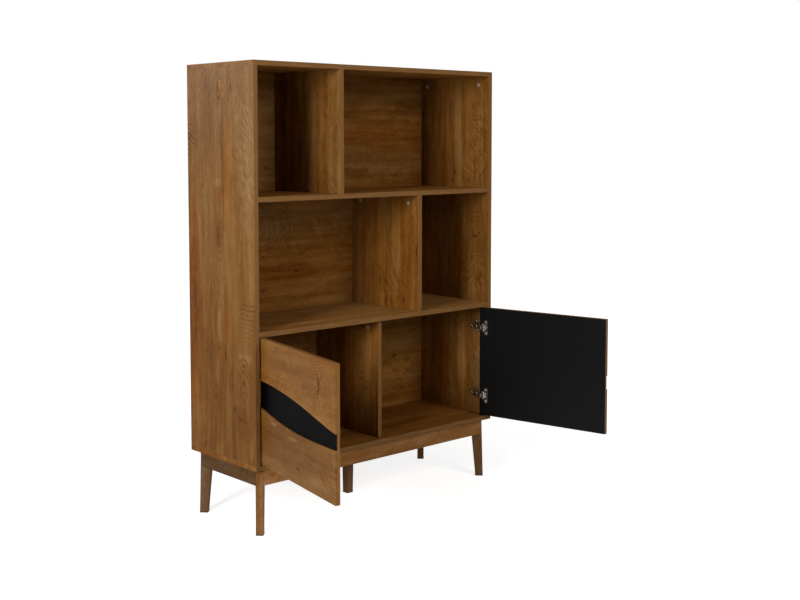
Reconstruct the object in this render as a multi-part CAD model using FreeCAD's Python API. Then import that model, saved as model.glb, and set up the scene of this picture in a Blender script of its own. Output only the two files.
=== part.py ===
import FreeCAD, Part
import math
import os

# Bookcase: three rows of open compartments on a base with splayed legs.
# Two hinged doors close the bottom row. They stand open, as they do at rest.
# Origin on the floor under the middle of the carcass, +X right, +Y back, +Z up. Millimetres.

# Carcass
CARCASS_WIDTH = 1000.0
CARCASS_DEPTH = 350.0
ROW_CLEAR_HEIGHT = 381.7
BOARD = 15.0
EDGE_ROUNDING = 0.6
UPPER_DIVIDER_SHARE = -0.169
MIDDLE_DIVIDER_SHARE = 0.1615
LOWER_DIVIDER_SHARE = 0.0
LOWER_DIVIDER_BEHIND_DOORS = 3.0

# Back panels, which stand in grooves
BACK_THICKNESS = 3.0
BACK_RECESS = 10.0
GROOVE_DEPTH = 5.0
GROOVE_SIDE_CLEARANCE = 0.1
GROOVE_END_CLEARANCE = 0.4
DIVIDER_BACK_CLEARANCE = 0.3

# Base frame and legs
BASE_HEIGHT = 200.0
APRON_THICKNESS = 15.0
APRON_HEIGHT = 50.0
APRON_INSET_SIDE = 16.0
APRON_INSET_FRONT = 12.0
MITRE_CLEARANCE = 0.1
LEG_WIDTH = 23.0
LEG_TOP_DEPTH = 39.5
LEG_FOOT_DEPTH = 26.5
LEG_LEAN = 5.3
LEG_ROUNDING = 3.5
CENTRE_LEG_TOP = 31.0
CENTRE_LEG_FOOT = 25.5
CENTRE_LEG_SETBACK = 5.0
GLIDE_HEIGHT = 4.0
GLIDE_OVERHANG = 0.4
GLIDE_ROUNDING = 0.8

# Steel parts that hold the base
CORNER_PLATE_THICKNESS = 2.0
CORNER_PLATE_HEIGHT = 36.0
CORNER_PLATE_FLANGE = 22.0
CORNER_PLATE_GAP = 3.0
CORNER_SCREW_SPACING = 20.0
BOLT_RADIUS = 3.0
BOLT_TAIL = 10.0
BOLT_IN_LEG = 28.0
NUT_RADIUS = 6.2
NUT_HEIGHT = 5.0
ANGLE_LEG = 20.0
ANGLE_WIDTH = 18.0
ANGLE_THICKNESS = 2.0
ANGLE_PLACE_SHARE = 0.22
TOP_PLATE_SIZE = 56.0
TOP_PLATE_THICKNESS = 2.5
TOP_PLATE_SCREW_INSET = 6.5
TOP_BOLT_IN_BOARD = 8.0

# Wood screws for the base and the hinges
SCREW_HEAD_RADIUS = 3.4
SCREW_HEAD_HEIGHT = 1.6
SCREW_RADIUS = 1.7
SCREW_IN_WOOD = 9.0
SCREW_RECESS_WIDTH = 0.9
SCREW_RECESS_DEPTH = 0.9
HOLE_CLEARANCE = 0.1

# Cam fittings, dowels and the screws under the bottom panel
CAM_RADIUS = 6.0
CAM_DEPTH = 11.0
CAM_FROM_END = 27.0
CAM_FROM_FRONT = 50.0
CAM_FROM_REAR = 44.0
CAM_SLOT_WIDTH = 1.4
CAM_SLOT_DEPTH = 1.5
CAM_BOLT_RADIUS = 2.5
CAM_BOLT_HEAD_RADIUS = 3.2
CAM_BOLT_HEAD_LENGTH = 3.0
CAM_BOLT_IN_BOARD = 9.5
DOWEL_RADIUS = 4.0
DOWEL_IN_END = 18.0
DOWEL_IN_BOARD = 9.0
DOWEL_FROM_CAM = 32.0
CARCASS_SCREW_LENGTH = 50.0
CARCASS_SCREW_RADIUS = 2.8
CARCASS_SCREW_HEAD_RADIUS = 4.8
CARCASS_SCREW_HEAD_LENGTH = 4.0

# Doors
DOOR_CORE = 9.0
DOOR_FRONT = 6.0
DOOR_CHAMFER = 0.5
DOOR_GAP_HINGE = 2.5
DOOR_GAP_MIDDLE = 3.0
DOOR_GAP_TOP = 1.5
DOOR_GAP_BOTTOM = 3.0
DOOR_OPEN_ANGLE = 101.5
# The edges of the black leaf between the fronts: (share of width, share of height)
UPPER_EDGE_SHARES = [
    (0.0, 0.664), (0.16, 0.660), (0.30, 0.646), (0.44, 0.626), (0.58, 0.600), (0.80, 0.548), (1.0, 0.505),
]
LOWER_EDGE_SHARES = [
    (0.0, 0.452), (0.16, 0.420), (0.30, 0.397), (0.44, 0.381), (0.58, 0.375), (0.80, 0.379), (1.0, 0.387),
]

# Hinges: a cup in the door turns on a pin at the end of a curved arm
HINGE_FROM_END = 70.0
PIVOT_FROM_EDGE = 11.0
PIVOT_FROM_FRONT = 6.5
CUP_RADIUS = 13.0
CUP_FROM_EDGE = 4.5
CUP_DEPTH = 12.0
CUP_WALL = 0.8
FLANGE_THICKNESS = 1.2
FLANGE_RADIUS = 15.0
FLANGE_LENGTH = 52.0
FLANGE_REACH = 16.0
FLANGE_ROUNDING = 4.0
CUP_SCREW_SPACING = 38.0
CUP_SCREW_OFFSET = 6.5
CUP_SCREW_IN_WOOD = 7.0
HINGE_PIN_RADIUS = 1.3
HINGE_PIN_CLEARANCE = 0.08
EYE_RADIUS = 2.3
NECK_RADIUS = 15.8
NECK_THICKNESS = 1.8
NECK_WIDTH = 9.0
NECK_TURN = 50.0
ARM_BACK = 66.0
ARM_START = 22.0
ARM_WIDTH = 12.8
ARM_SHEET = 1.2
ARM_LIFT = 14.0
ARM_SIDE = 6.5
RAIL_WIDTH = 9.8
MOUNT_SETBACK = 52.0
MOUNT_LENGTH = 40.0
WING_LENGTH = 44.0
WING_WIDTH = 20.0
WING_THICKNESS = 2.0
MOUNT_SCREW_SPACING = 32.0
ARM_SCREW_SPACING = 22.0
ARM_SCREW_LENGTH = 8.0

# Worked out from the values above
HALF_WIDTH = CARCASS_WIDTH / 2
HALF_DEPTH = CARCASS_DEPTH / 2
FRONT_Y = -HALF_DEPTH
BOTTOM_Z = BASE_HEIGHT
FLOOR_OF_ROW = [BOTTOM_Z + BOARD + row * (ROW_CLEAR_HEIGHT + BOARD) for row in range(3)]
CEILING_OF_ROW = [floor + ROW_CLEAR_HEIGHT for floor in FLOOR_OF_ROW]
TOP_Z = CEILING_OF_ROW[2] + BOARD
INNER_X = HALF_WIDTH - BOARD
BACK_REAR_Y = HALF_DEPTH - BACK_RECESS
BACK_FRONT_Y = BACK_REAR_Y - BACK_THICKNESS
DIVIDER_REAR_Y = BACK_FRONT_Y - DIVIDER_BACK_CLEARANCE
DOOR_THICKNESS = DOOR_CORE + DOOR_FRONT
X_AXIS = FreeCAD.Vector(1, 0, 0)
Y_AXIS = FreeCAD.Vector(0, 1, 0)
Z_AXIS = FreeCAD.Vector(0, 0, 1)
ORIGIN = FreeCAD.Vector(0, 0, 0)


# Basic shapes

def block(low, high):
    """A box from its low corner to its high corner."""
    size = [high[i] - low[i] for i in range(3)]
    return Part.makeBox(size[0], size[1], size[2], FreeCAD.Vector(*low))


def rounded(shape, radius, keep=None):
    """The shape with its edges rounded, or only those edges that keep accepts."""
    edges = [edge for edge in shape.Edges if keep is None or keep(edge)]
    return shape.makeFillet(radius, edges)


def along(edge, axis):
    """True for a straight edge that runs along the axis."""
    start = edge.Vertexes[0].Point
    end = edge.Vertexes[-1].Point
    return abs((end - start).normalize().dot(axis)) > math.cos(math.radians(1))


def rod(start, direction, length, radius):
    """A round bar from start along direction."""
    return Part.makeCylinder(radius, length, start, direction)


def prism(points, height):
    """A prism on a plan outline of points, which all lie on one level, raised by height."""
    outline = Part.makePolygon(points + [points[0]])
    return Part.Face(outline).extrude(Z_AXIS * height)


def place(shape, origin, direction):
    """A copy of a shape made on +Z, set at origin and turned to direction."""
    copy = shape.copy()
    copy.Placement = FreeCAD.Placement(origin, FreeCAD.Rotation(Z_AXIS, direction))
    return copy


def cut_all(shape, tools):
    """The shape without all the tools."""
    return shape.cut(tools) if tools else shape


# Fasteners, each made on +Z with its seat at the origin and its shank above

def cross_recess(width, length, depth, seat):
    """The cross that a driver turns, as a tool that sinks into the face below the seat."""
    arms = []
    for wide, deep in ((width, length), (length, width)):
        arms.append(block((-wide / 2, -deep / 2, seat), (wide / 2, deep / 2, seat + depth)))
    return arms[0].fuse(arms[1])


def screw(shank, growth=0.0):
    """A pan-head screw, or with growth the hole that its shank needs."""
    body = rod(ORIGIN, Z_AXIS, shank + growth, SCREW_RADIUS + growth)
    if growth:
        return body
    tip = Part.makeCone(SCREW_RADIUS, 0, SCREW_RADIUS, Z_AXIS * shank, Z_AXIS)
    head = rod(Z_AXIS * -SCREW_HEAD_HEIGHT, Z_AXIS, SCREW_HEAD_HEIGHT, SCREW_HEAD_RADIUS)
    head = rounded(head, SCREW_HEAD_HEIGHT / 2, lambda edge: edge.BoundBox.ZMax < -SCREW_HEAD_HEIGHT / 2)
    recess = cross_recess(SCREW_RECESS_WIDTH, SCREW_HEAD_RADIUS, SCREW_RECESS_DEPTH, -SCREW_HEAD_HEIGHT)
    return head.fuse([body, tip]).cut(recess).removeSplitter()


def screw_hole(shank):
    """The hole for a screw, long enough for its tip."""
    return screw(shank + SCREW_RADIUS, HOLE_CLEARANCE)


def carcass_screw(growth=0.0):
    """A countersunk screw that joins two boards, its head's face at the origin."""
    shank = rod(ORIGIN, Z_AXIS, CARCASS_SCREW_LENGTH + growth, CARCASS_SCREW_RADIUS + growth)
    wide = CARCASS_SCREW_HEAD_RADIUS + growth
    narrow = CARCASS_SCREW_RADIUS + growth
    head = Part.makeCone(wide, narrow, CARCASS_SCREW_HEAD_LENGTH, ORIGIN, Z_AXIS)
    body = shank.fuse(head)
    if growth:
        return body
    recess = cross_recess(SCREW_RECESS_WIDTH, CARCASS_SCREW_HEAD_RADIUS, SCREW_RECESS_DEPTH, 0)
    return body.cut(recess).removeSplitter()


def cam_bolt(growth=0.0):
    """A cam bolt, its collar's seat at the origin, its thread above and its head below."""
    length = CAM_FROM_END + CAM_BOLT_HEAD_LENGTH / 2
    thread = rod(ORIGIN, Z_AXIS, CAM_BOLT_IN_BOARD + growth, CAM_BOLT_RADIUS + growth)
    stem = rod(Z_AXIS * -length, Z_AXIS, length, CAM_BOLT_RADIUS + growth)
    head_length = CAM_BOLT_HEAD_LENGTH + growth
    head = rod(Z_AXIS * -(length + growth), Z_AXIS, head_length, CAM_BOLT_HEAD_RADIUS + growth)
    return thread.fuse([stem, head]).removeSplitter()


class Joinery:
    """Collects the cam fittings and dowels, and the holes that they need in each board."""

    def __init__(self):
        self.cams = []
        self.bolts = []
        self.dowels = []
        self.screws = []
        self.tools = {}

    def drill(self, board, tool):
        self.tools.setdefault(board, []).append(tool)

    def cam(self, board, target, end, toward, face):
        """A cam in board, whose end face meets target, with its slotted side on the face side."""
        centre = end - toward * CAM_FROM_END
        outside = centre + face * (BOARD / 2)
        socket = rod(outside, face * -1, CAM_DEPTH + HOLE_CLEARANCE, CAM_RADIUS + HOLE_CLEARANCE)
        bolt_hole = place(cam_bolt(HOLE_CLEARANCE), end, toward)
        throat = rod(centre, toward, CAM_FROM_END, CAM_BOLT_HEAD_RADIUS + HOLE_CLEARANCE)
        slot = place(cross_recess(CAM_SLOT_WIDTH, CAM_RADIUS, CAM_SLOT_DEPTH, 0), outside, face * -1)
        disc = rod(outside, face * -1, CAM_DEPTH, CAM_RADIUS)
        self.cams.append(disc.cut([bolt_hole, throat, slot]))
        self.bolts.append(place(cam_bolt(), end, toward))
        self.drill(board, socket)
        self.drill(board, bolt_hole)
        self.drill(board, throat)
        self.drill(target, bolt_hole)

    def dowel(self, board, target, end, toward):
        """A wooden dowel from the end face of board into the face of target."""
        start = end - toward * DOWEL_IN_END
        length = DOWEL_IN_END + DOWEL_IN_BOARD
        self.dowels.append(rod(start, toward, length, DOWEL_RADIUS))
        hole_start = start - toward * HOLE_CLEARANCE
        hole = rod(hole_start, toward, length + HOLE_CLEARANCE * 2, DOWEL_RADIUS + HOLE_CLEARANCE)
        self.drill(board, hole)
        self.drill(target, hole)

    def screw_up(self, board, target, x, y):
        """A screw up through target, the bottom panel, into the lower end of board."""
        seat = FreeCAD.Vector(x, y, BOTTOM_Z)
        self.screws.append(place(carcass_screw(), seat, Z_AXIS))
        hole = place(carcass_screw(HOLE_CLEARANCE), seat, Z_AXIS)
        self.drill(board, hole)
        self.drill(target, hole)


# Carcass boards

def full_depth_board(low_x, high_x, low_z, high_z):
    """A board as deep as the carcass."""
    return block((low_x, -HALF_DEPTH, low_z), (high_x, HALF_DEPTH, high_z))


def carcass_boards():
    """The boards before grooves and holes."""
    floor = FLOOR_OF_ROW[0]
    ceiling = CEILING_OF_ROW[2]
    boards = {
        "bottom_panel": full_depth_board(-HALF_WIDTH, HALF_WIDTH, BOTTOM_Z, floor),
        "top_panel": full_depth_board(-HALF_WIDTH, HALF_WIDTH, ceiling, TOP_Z),
        "left_side_panel": full_depth_board(-HALF_WIDTH, -INNER_X, floor, ceiling),
        "right_side_panel": full_depth_board(INNER_X, HALF_WIDTH, floor, ceiling),
        "lower_shelf": full_depth_board(-INNER_X, INNER_X, CEILING_OF_ROW[0], FLOOR_OF_ROW[1]),
        "upper_shelf": full_depth_board(-INNER_X, INNER_X, CEILING_OF_ROW[1], FLOOR_OF_ROW[2]),
    }
    for row, (name, share, front) in enumerate(DIVIDERS):
        x = CARCASS_WIDTH * share
        low = (x - BOARD / 2, front, FLOOR_OF_ROW[row])
        high = (x + BOARD / 2, DIVIDER_REAR_Y, CEILING_OF_ROW[row])
        boards[name] = block(low, high)
    return {name: rounded(board, EDGE_ROUNDING) for name, board in boards.items()}


LOWER_DIVIDER_FRONT = FRONT_Y + DOOR_THICKNESS + LOWER_DIVIDER_BEHIND_DOORS
DIVIDERS = [
    ("lower_divider", LOWER_DIVIDER_SHARE, LOWER_DIVIDER_FRONT),
    ("middle_divider", MIDDLE_DIVIDER_SHARE, FRONT_Y),
    ("upper_divider", UPPER_DIVIDER_SHARE, FRONT_Y),
]
BACK_PANELS = ["back_panel_lower", "back_panel_middle", "back_panel_upper"]
BOARD_ABOVE_ROW = ["lower_shelf", "upper_shelf", "top_panel"]
BOARD_BELOW_ROW = ["bottom_panel", "lower_shelf", "upper_shelf"]


def back_panel(row):
    """The back panel of one row, seated in grooves on all four sides."""
    reach = GROOVE_DEPTH - GROOVE_END_CLEARANCE
    low = (-INNER_X - reach, BACK_FRONT_Y, FLOOR_OF_ROW[row] - reach)
    high = (INNER_X + reach, BACK_REAR_Y, CEILING_OF_ROW[row] + reach)
    return block(low, high)


def groove(row):
    """The space that the grooves of one row leave for its back panel."""
    low = (-INNER_X - GROOVE_DEPTH, BACK_FRONT_Y - GROOVE_SIDE_CLEARANCE, FLOOR_OF_ROW[row] - GROOVE_DEPTH)
    high = (INNER_X + GROOVE_DEPTH, BACK_REAR_Y + GROOVE_SIDE_CLEARANCE, CEILING_OF_ROW[row] + GROOVE_DEPTH)
    return block(low, high)


def pair_of_places(front, rear):
    """Where the two cams stand between the front and the rear of a board, and the two dowels."""
    cams = (front + CAM_FROM_FRONT, rear - CAM_FROM_REAR)
    dowels = (cams[0] + DOWEL_FROM_CAM, cams[1] - DOWEL_FROM_CAM)
    return cams, dowels


def join_carcass(joinery):
    """All the fittings that hold the carcass together."""
    cams, dowels = pair_of_places(-HALF_DEPTH, HALF_DEPTH)
    for name, side in (("left_side_panel", -1), ("right_side_panel", 1)):
        middle_x = side * (HALF_WIDTH - BOARD / 2)
        for y in cams:
            top_end = FreeCAD.Vector(middle_x, y, CEILING_OF_ROW[2])
            joinery.cam(name, "top_panel", top_end, Z_AXIS, X_AXIS * -side)
            joinery.screw_up(name, "bottom_panel", middle_x, y)
        for y in dowels:
            top_end = FreeCAD.Vector(middle_x, y, CEILING_OF_ROW[2])
            bottom_end = FreeCAD.Vector(middle_x, y, FLOOR_OF_ROW[0])
            joinery.dowel(name, "top_panel", top_end, Z_AXIS)
            joinery.dowel(name, "bottom_panel", bottom_end, Z_AXIS * -1)
        for row, shelf in enumerate(("lower_shelf", "upper_shelf")):
            middle_z = CEILING_OF_ROW[row] + BOARD / 2
            for y in cams:
                end = FreeCAD.Vector(side * INNER_X, y, middle_z)
                joinery.cam(shelf, name, end, X_AXIS * side, Z_AXIS * -1)
            for y in dowels:
                end = FreeCAD.Vector(side * INNER_X, y, middle_z)
                joinery.dowel(shelf, name, end, X_AXIS * side)
    for row, (name, share, front) in enumerate(DIVIDERS):
        x = CARCASS_WIDTH * share
        cams, dowels = pair_of_places(front, DIVIDER_REAR_Y)
        face = X_AXIS if name == "upper_divider" else X_AXIS * -1
        for y in cams:
            end = FreeCAD.Vector(x, y, CEILING_OF_ROW[row])
            joinery.cam(name, BOARD_ABOVE_ROW[row], end, Z_AXIS, face)
            if row == 0:
                joinery.screw_up(name, "bottom_panel", x, y)
        for y in dowels:
            end = FreeCAD.Vector(x, y, FLOOR_OF_ROW[row])
            joinery.dowel(name, BOARD_BELOW_ROW[row], end, Z_AXIS * -1)


def groove_boards(boards):
    """The boards with the grooves for the back panels."""
    for row in range(3):
        space = groove(row)
        for name in ("left_side_panel", "right_side_panel", BOARD_ABOVE_ROW[row], BOARD_BELOW_ROW[row]):
            boards[name] = boards[name].cut(space)


# Base frame and legs

CORNERS = [
    ("front_left_leg", -1, -1),
    ("front_right_leg", 1, -1),
    ("rear_left_leg", -1, 1),
    ("rear_right_leg", 1, 1),
]
FRAME_X = HALF_WIDTH - APRON_INSET_SIDE
FRAME_Y = HALF_DEPTH - APRON_INSET_FRONT
APRON_BOTTOM = BOTTOM_Z - APRON_HEIGHT
APRON_MIDDLE = BOTTOM_Z - APRON_HEIGHT / 2
# The diagonal of a square as a share of its side
DIAGONAL_SHARE = math.sqrt(2)
LEG_DIAGONAL = LEG_WIDTH * DIAGONAL_SHARE / 2
MITRE_GAP = MITRE_CLEARANCE * DIAGONAL_SHARE


def apron(outer, across, cut_back):
    """A board of the base frame along X: its outer face at -outer, mitred against the legs."""
    half_outer = across - LEG_DIAGONAL - MITRE_GAP
    half_inner = half_outer - cut_back
    inner = outer - APRON_THICKNESS
    points = [(-half_outer, -outer), (half_outer, -outer), (half_inner, -inner), (-half_inner, -inner)]
    return prism([FreeCAD.Vector(x, y, APRON_BOTTOM) for x, y in points], APRON_HEIGHT)


def aprons():
    """The four boards of the base frame."""
    front = apron(FRAME_Y, FRAME_X, APRON_THICKNESS)
    side = apron(FRAME_X, FRAME_Y, APRON_THICKNESS)
    frame = {"front_apron": front}
    turned = (("rear_apron", front, 180), ("right_apron", side, 90), ("left_apron", side, -90))
    for name, shape, turn in turned:
        copy = shape.copy()
        copy.rotate(ORIGIN, Z_AXIS, turn)
        frame[name] = copy
    return frame


def turned_to_corner(shape, side_x, side_y):
    """A copy of a shape made with its outside to +X, its top face's outer line on the Z axis."""
    outward = FreeCAD.Vector(side_x, side_y, 0).normalize()
    corner = FreeCAD.Vector(side_x * FRAME_X, side_y * FRAME_Y, 0)
    origin = corner - outward * (LEG_WIDTH / 2)
    copy = shape.copy()
    turn = math.degrees(math.atan2(side_y, side_x))
    copy.Placement = FreeCAD.Placement(origin, FreeCAD.Rotation(Z_AXIS, turn))
    return copy


def corner_leg():
    """A tapered leg that leans outwards, its narrow face to +X."""
    half = LEG_WIDTH / 2
    points = [
        (0, BOTTOM_Z),
        (LEG_LEAN, GLIDE_HEIGHT),
        (LEG_LEAN - LEG_FOOT_DEPTH, GLIDE_HEIGHT),
        (-LEG_TOP_DEPTH, BOTTOM_Z),
    ]
    corners = [FreeCAD.Vector(x, -half, z) for x, z in points]
    outline = Part.makePolygon(corners + [corners[0]])
    leg = Part.Face(outline).extrude(Y_AXIS * LEG_WIDTH)
    return rounded(leg, LEG_ROUNDING, lambda edge: edge.BoundBox.ZLength > APRON_HEIGHT)


def glide(length, width, middle=0.0):
    """A dark plastic pad under a foot, its middle at x = middle."""
    half_x = length / 2 + GLIDE_OVERHANG
    half_y = width / 2 + GLIDE_OVERHANG
    pad = block((middle - half_x, -half_y, 0), (middle + half_x, half_y, GLIDE_HEIGHT))
    pad = rounded(pad, LEG_ROUNDING, lambda edge: along(edge, Z_AXIS))
    return rounded(pad, GLIDE_ROUNDING, lambda edge: edge.BoundBox.ZMax < GLIDE_ROUNDING)


def centre_leg():
    """The straight leg under the middle, square and slightly tapered."""
    wires = []
    for side, z in ((CENTRE_LEG_FOOT, GLIDE_HEIGHT), (CENTRE_LEG_TOP, BOTTOM_Z - TOP_PLATE_THICKNESS)):
        half = side / 2
        plan = [(-half, -half), (half, -half), (half, half), (-half, half)]
        corners = [FreeCAD.Vector(x, y + CENTRE_LEG_SETBACK, z) for x, y in plan]
        wires.append(Part.makePolygon(corners + [corners[0]]))
    leg = Part.makeLoft(wires, True, True)
    return rounded(leg, LEG_ROUNDING, lambda edge: edge.BoundBox.ZLength > APRON_HEIGHT)


def corner_plate(side_x, side_y):
    """The bent steel plate that spans one inner corner of the frame, and its screws and bolt."""
    inner = FreeCAD.Vector(side_x * (FRAME_X - APRON_THICKNESS), side_y * (FRAME_Y - APRON_THICKNESS), 0)
    leg_face = LEG_WIDTH / 2 + LEG_TOP_DEPTH - APRON_THICKNESS * DIAGONAL_SHARE
    reach = (leg_face + CORNER_PLATE_GAP) * DIAGONAL_SHARE
    bend = CORNER_PLATE_THICKNESS * (DIAGONAL_SHARE - 1)
    far = reach + CORNER_PLATE_FLANGE
    thick = CORNER_PLATE_THICKNESS
    plan = [(far, 0), (reach, 0), (0, reach), (0, far), (thick, far), (thick, reach + bend)]
    plan += [(reach + bend, thick), (far, thick)]
    low = APRON_MIDDLE - CORNER_PLATE_HEIGHT / 2
    points = [FreeCAD.Vector(inner.x - side_x * u, inner.y - side_y * v, low) for u, v in plan]
    plate = prism(points, CORNER_PLATE_HEIGHT)
    outward = FreeCAD.Vector(side_x, side_y, 0).normalize()
    middle = FreeCAD.Vector(inner.x, inner.y, APRON_MIDDLE)
    face = middle - outward * (reach / DIAGONAL_SHARE + thick)
    start = face - outward * BOLT_TAIL
    length = BOLT_TAIL + thick + CORNER_PLATE_GAP + BOLT_IN_LEG
    bolt = rod(start, outward, length, BOLT_RADIUS)
    bolt_hole = rod(start, outward, length + HOLE_CLEARANCE, BOLT_RADIUS + HOLE_CLEARANCE)
    nut = hexagon_nut(face, outward * -1).cut(bolt_hole)
    seats = []
    along_flange = reach + CORNER_PLATE_FLANGE / 2
    for step in (-1, 1):
        z = APRON_MIDDLE + step * CORNER_SCREW_SPACING / 2
        across = FreeCAD.Vector(inner.x - side_x * along_flange, inner.y - side_y * thick, z)
        deep = FreeCAD.Vector(inner.x - side_x * thick, inner.y - side_y * along_flange, z)
        seats += [(across, Y_AXIS * side_y), (deep, X_AXIS * side_x)]
    return plate.cut(bolt_hole), bolt, bolt_hole, nut, seats


def hexagon_nut(seat, direction):
    """A hexagon nut on its seat, standing along direction."""
    corners = []
    for step in range(6):
        turn = math.radians(60 * step)
        corners.append(FreeCAD.Vector(NUT_RADIUS * math.cos(turn), NUT_RADIUS * math.sin(turn), 0))
    return place(prism(corners, NUT_HEIGHT), seat, direction)


def angle_plate():
    """A steel angle with its wall on the XZ plane at y = 0 and its shelf under z = 0, room at +Y."""
    half = ANGLE_WIDTH / 2
    wall = block((-half, 0, -ANGLE_LEG), (half, ANGLE_THICKNESS, 0))
    shelf = block((-half, 0, -ANGLE_THICKNESS), (half, ANGLE_LEG, 0))
    return wall.fuse(shelf).removeSplitter()


def angle_places():
    """Where the angles stand on the inner faces of the base frame: origin, turn, name of the apron."""
    x = CARCASS_WIDTH * ANGLE_PLACE_SHARE
    inner_y = FRAME_Y - APRON_THICKNESS
    inner_x = FRAME_X - APRON_THICKNESS
    places = [(FreeCAD.Vector(side * x, -inner_y, BOTTOM_Z), 0, "front_apron") for side in (-1, 1)]
    places += [(FreeCAD.Vector(side * x, inner_y, BOTTOM_Z), 180, "rear_apron") for side in (-1, 1)]
    places.append((FreeCAD.Vector(inner_x, 0, BOTTOM_Z), 90, "right_apron"))
    places.append((FreeCAD.Vector(-inner_x, 0, BOTTOM_Z), -90, "left_apron"))
    return places


def build_base(nodes, tools):
    """The base frame, the legs, their glides and the steel that holds them."""
    nodes.update(aprons())
    glides = []
    plates = []
    bolts = []
    nuts = []
    corner_screws = []
    wood_screw = screw(CORNER_PLATE_THICKNESS + SCREW_IN_WOOD)
    wood_hole = screw_hole(CORNER_PLATE_THICKNESS + SCREW_IN_WOOD)
    leg = corner_leg()
    foot_pad = glide(LEG_FOOT_DEPTH, LEG_WIDTH, LEG_LEAN - LEG_FOOT_DEPTH / 2)
    for name, side_x, side_y in CORNERS:
        nodes[name] = turned_to_corner(leg, side_x, side_y)
        glides.append(turned_to_corner(foot_pad, side_x, side_y))
        plate, bolt, bolt_hole, nut, seats = corner_plate(side_x, side_y)
        tools.setdefault(name, []).append(bolt_hole)
        for seat, direction in seats:
            hole = place(wood_hole, seat, direction)
            plate = plate.cut(hole)
            corner_screws.append(place(wood_screw, seat, direction))
            across = "front_apron" if side_y < 0 else "rear_apron"
            deep = "left_apron" if side_x < 0 else "right_apron"
            tools.setdefault(across if abs(direction.y) > abs(direction.x) else deep, []).append(hole)
        plates.append(plate)
        bolts.append(bolt)
        nuts.append(nut)
    build_centre_leg(nodes, tools, glides, bolts)
    build_angles(nodes, tools)
    nodes["leg_glides"] = Part.makeCompound(glides)
    nodes["corner_plates"] = Part.makeCompound(plates)
    nodes["leg_bolts"] = Part.makeCompound(bolts)
    nodes["leg_nuts"] = Part.makeCompound(nuts)
    nodes["corner_plate_screws"] = Part.makeCompound(corner_screws)


def build_centre_leg(nodes, tools, glides, bolts):
    """The centre leg under its square steel plate."""
    nodes["centre_leg"] = centre_leg()
    pad = glide(CENTRE_LEG_FOOT, CENTRE_LEG_FOOT)
    pad.translate(Y_AXIS * CENTRE_LEG_SETBACK)
    glides.append(pad)
    half = TOP_PLATE_SIZE / 2
    low = BOTTOM_Z - TOP_PLATE_THICKNESS
    plate = block((-half, CENTRE_LEG_SETBACK - half, low), (half, CENTRE_LEG_SETBACK + half, BOTTOM_Z))
    plate = rounded(plate, LEG_ROUNDING, lambda edge: along(edge, Z_AXIS))
    start = FreeCAD.Vector(0, CENTRE_LEG_SETBACK, low - BOLT_IN_LEG)
    length = BOLT_IN_LEG + TOP_PLATE_THICKNESS + TOP_BOLT_IN_BOARD
    bolts.append(rod(start, Z_AXIS, length, BOLT_RADIUS))
    hole_start = start - Z_AXIS * HOLE_CLEARANCE
    bolt_hole = rod(hole_start, Z_AXIS, length + HOLE_CLEARANCE * 2, BOLT_RADIUS + HOLE_CLEARANCE)
    holes = [bolt_hole]
    solid = screw(TOP_PLATE_THICKNESS + SCREW_IN_WOOD)
    hole = screw_hole(TOP_PLATE_THICKNESS + SCREW_IN_WOOD)
    screws = []
    offset = half - TOP_PLATE_SCREW_INSET
    for side_x in (-1, 1):
        for side_y in (-1, 1):
            seat = FreeCAD.Vector(side_x * offset, CENTRE_LEG_SETBACK + side_y * offset, low)
            screws.append(place(solid, seat, Z_AXIS))
            holes.append(place(hole, seat, Z_AXIS))
    nodes["centre_leg_plate"] = plate.cut(holes)
    nodes["centre_leg_screws"] = Part.makeCompound(screws)
    tools.setdefault("bottom_panel", []).extend(holes)
    tools.setdefault("centre_leg", []).append(bolt_hole)


def build_angles(nodes, tools):
    """The steel angles that hold the base frame to the bottom panel."""
    solid = screw(ANGLE_THICKNESS + SCREW_IN_WOOD)
    hole = screw_hole(ANGLE_THICKNESS + SCREW_IN_WOOD)
    reach = (ANGLE_LEG + ANGLE_THICKNESS) / 2
    seats = [
        (FreeCAD.Vector(0, ANGLE_THICKNESS, -reach), Y_AXIS * -1),
        (FreeCAD.Vector(0, reach, -ANGLE_THICKNESS), Z_AXIS),
    ]
    holes = [place(hole, seat, direction) for seat, direction in seats]
    template = angle_plate().cut(holes)
    angles = []
    screws = []
    for origin, turn, apron_name in angle_places():
        set_here = FreeCAD.Placement(origin, FreeCAD.Rotation(Z_AXIS, turn))
        angles.append(moved(template, set_here))
        for index, (seat, direction) in enumerate(seats):
            screws.append(moved(place(solid, seat, direction), set_here))
            board = apron_name if index == 0 else "bottom_panel"
            tools.setdefault(board, []).append(moved(holes[index], set_here))
    nodes["apron_angles"] = Part.makeCompound(angles)
    nodes["apron_angle_screws"] = Part.makeCompound(screws)


def moved(shape, placement):
    """A copy of the shape carried by a placement."""
    copy = shape.copy()
    copy.Placement = placement.multiply(copy.Placement)
    return copy


# Doors, modelled closed and on the left, then mirrored for the right and swung open

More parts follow.
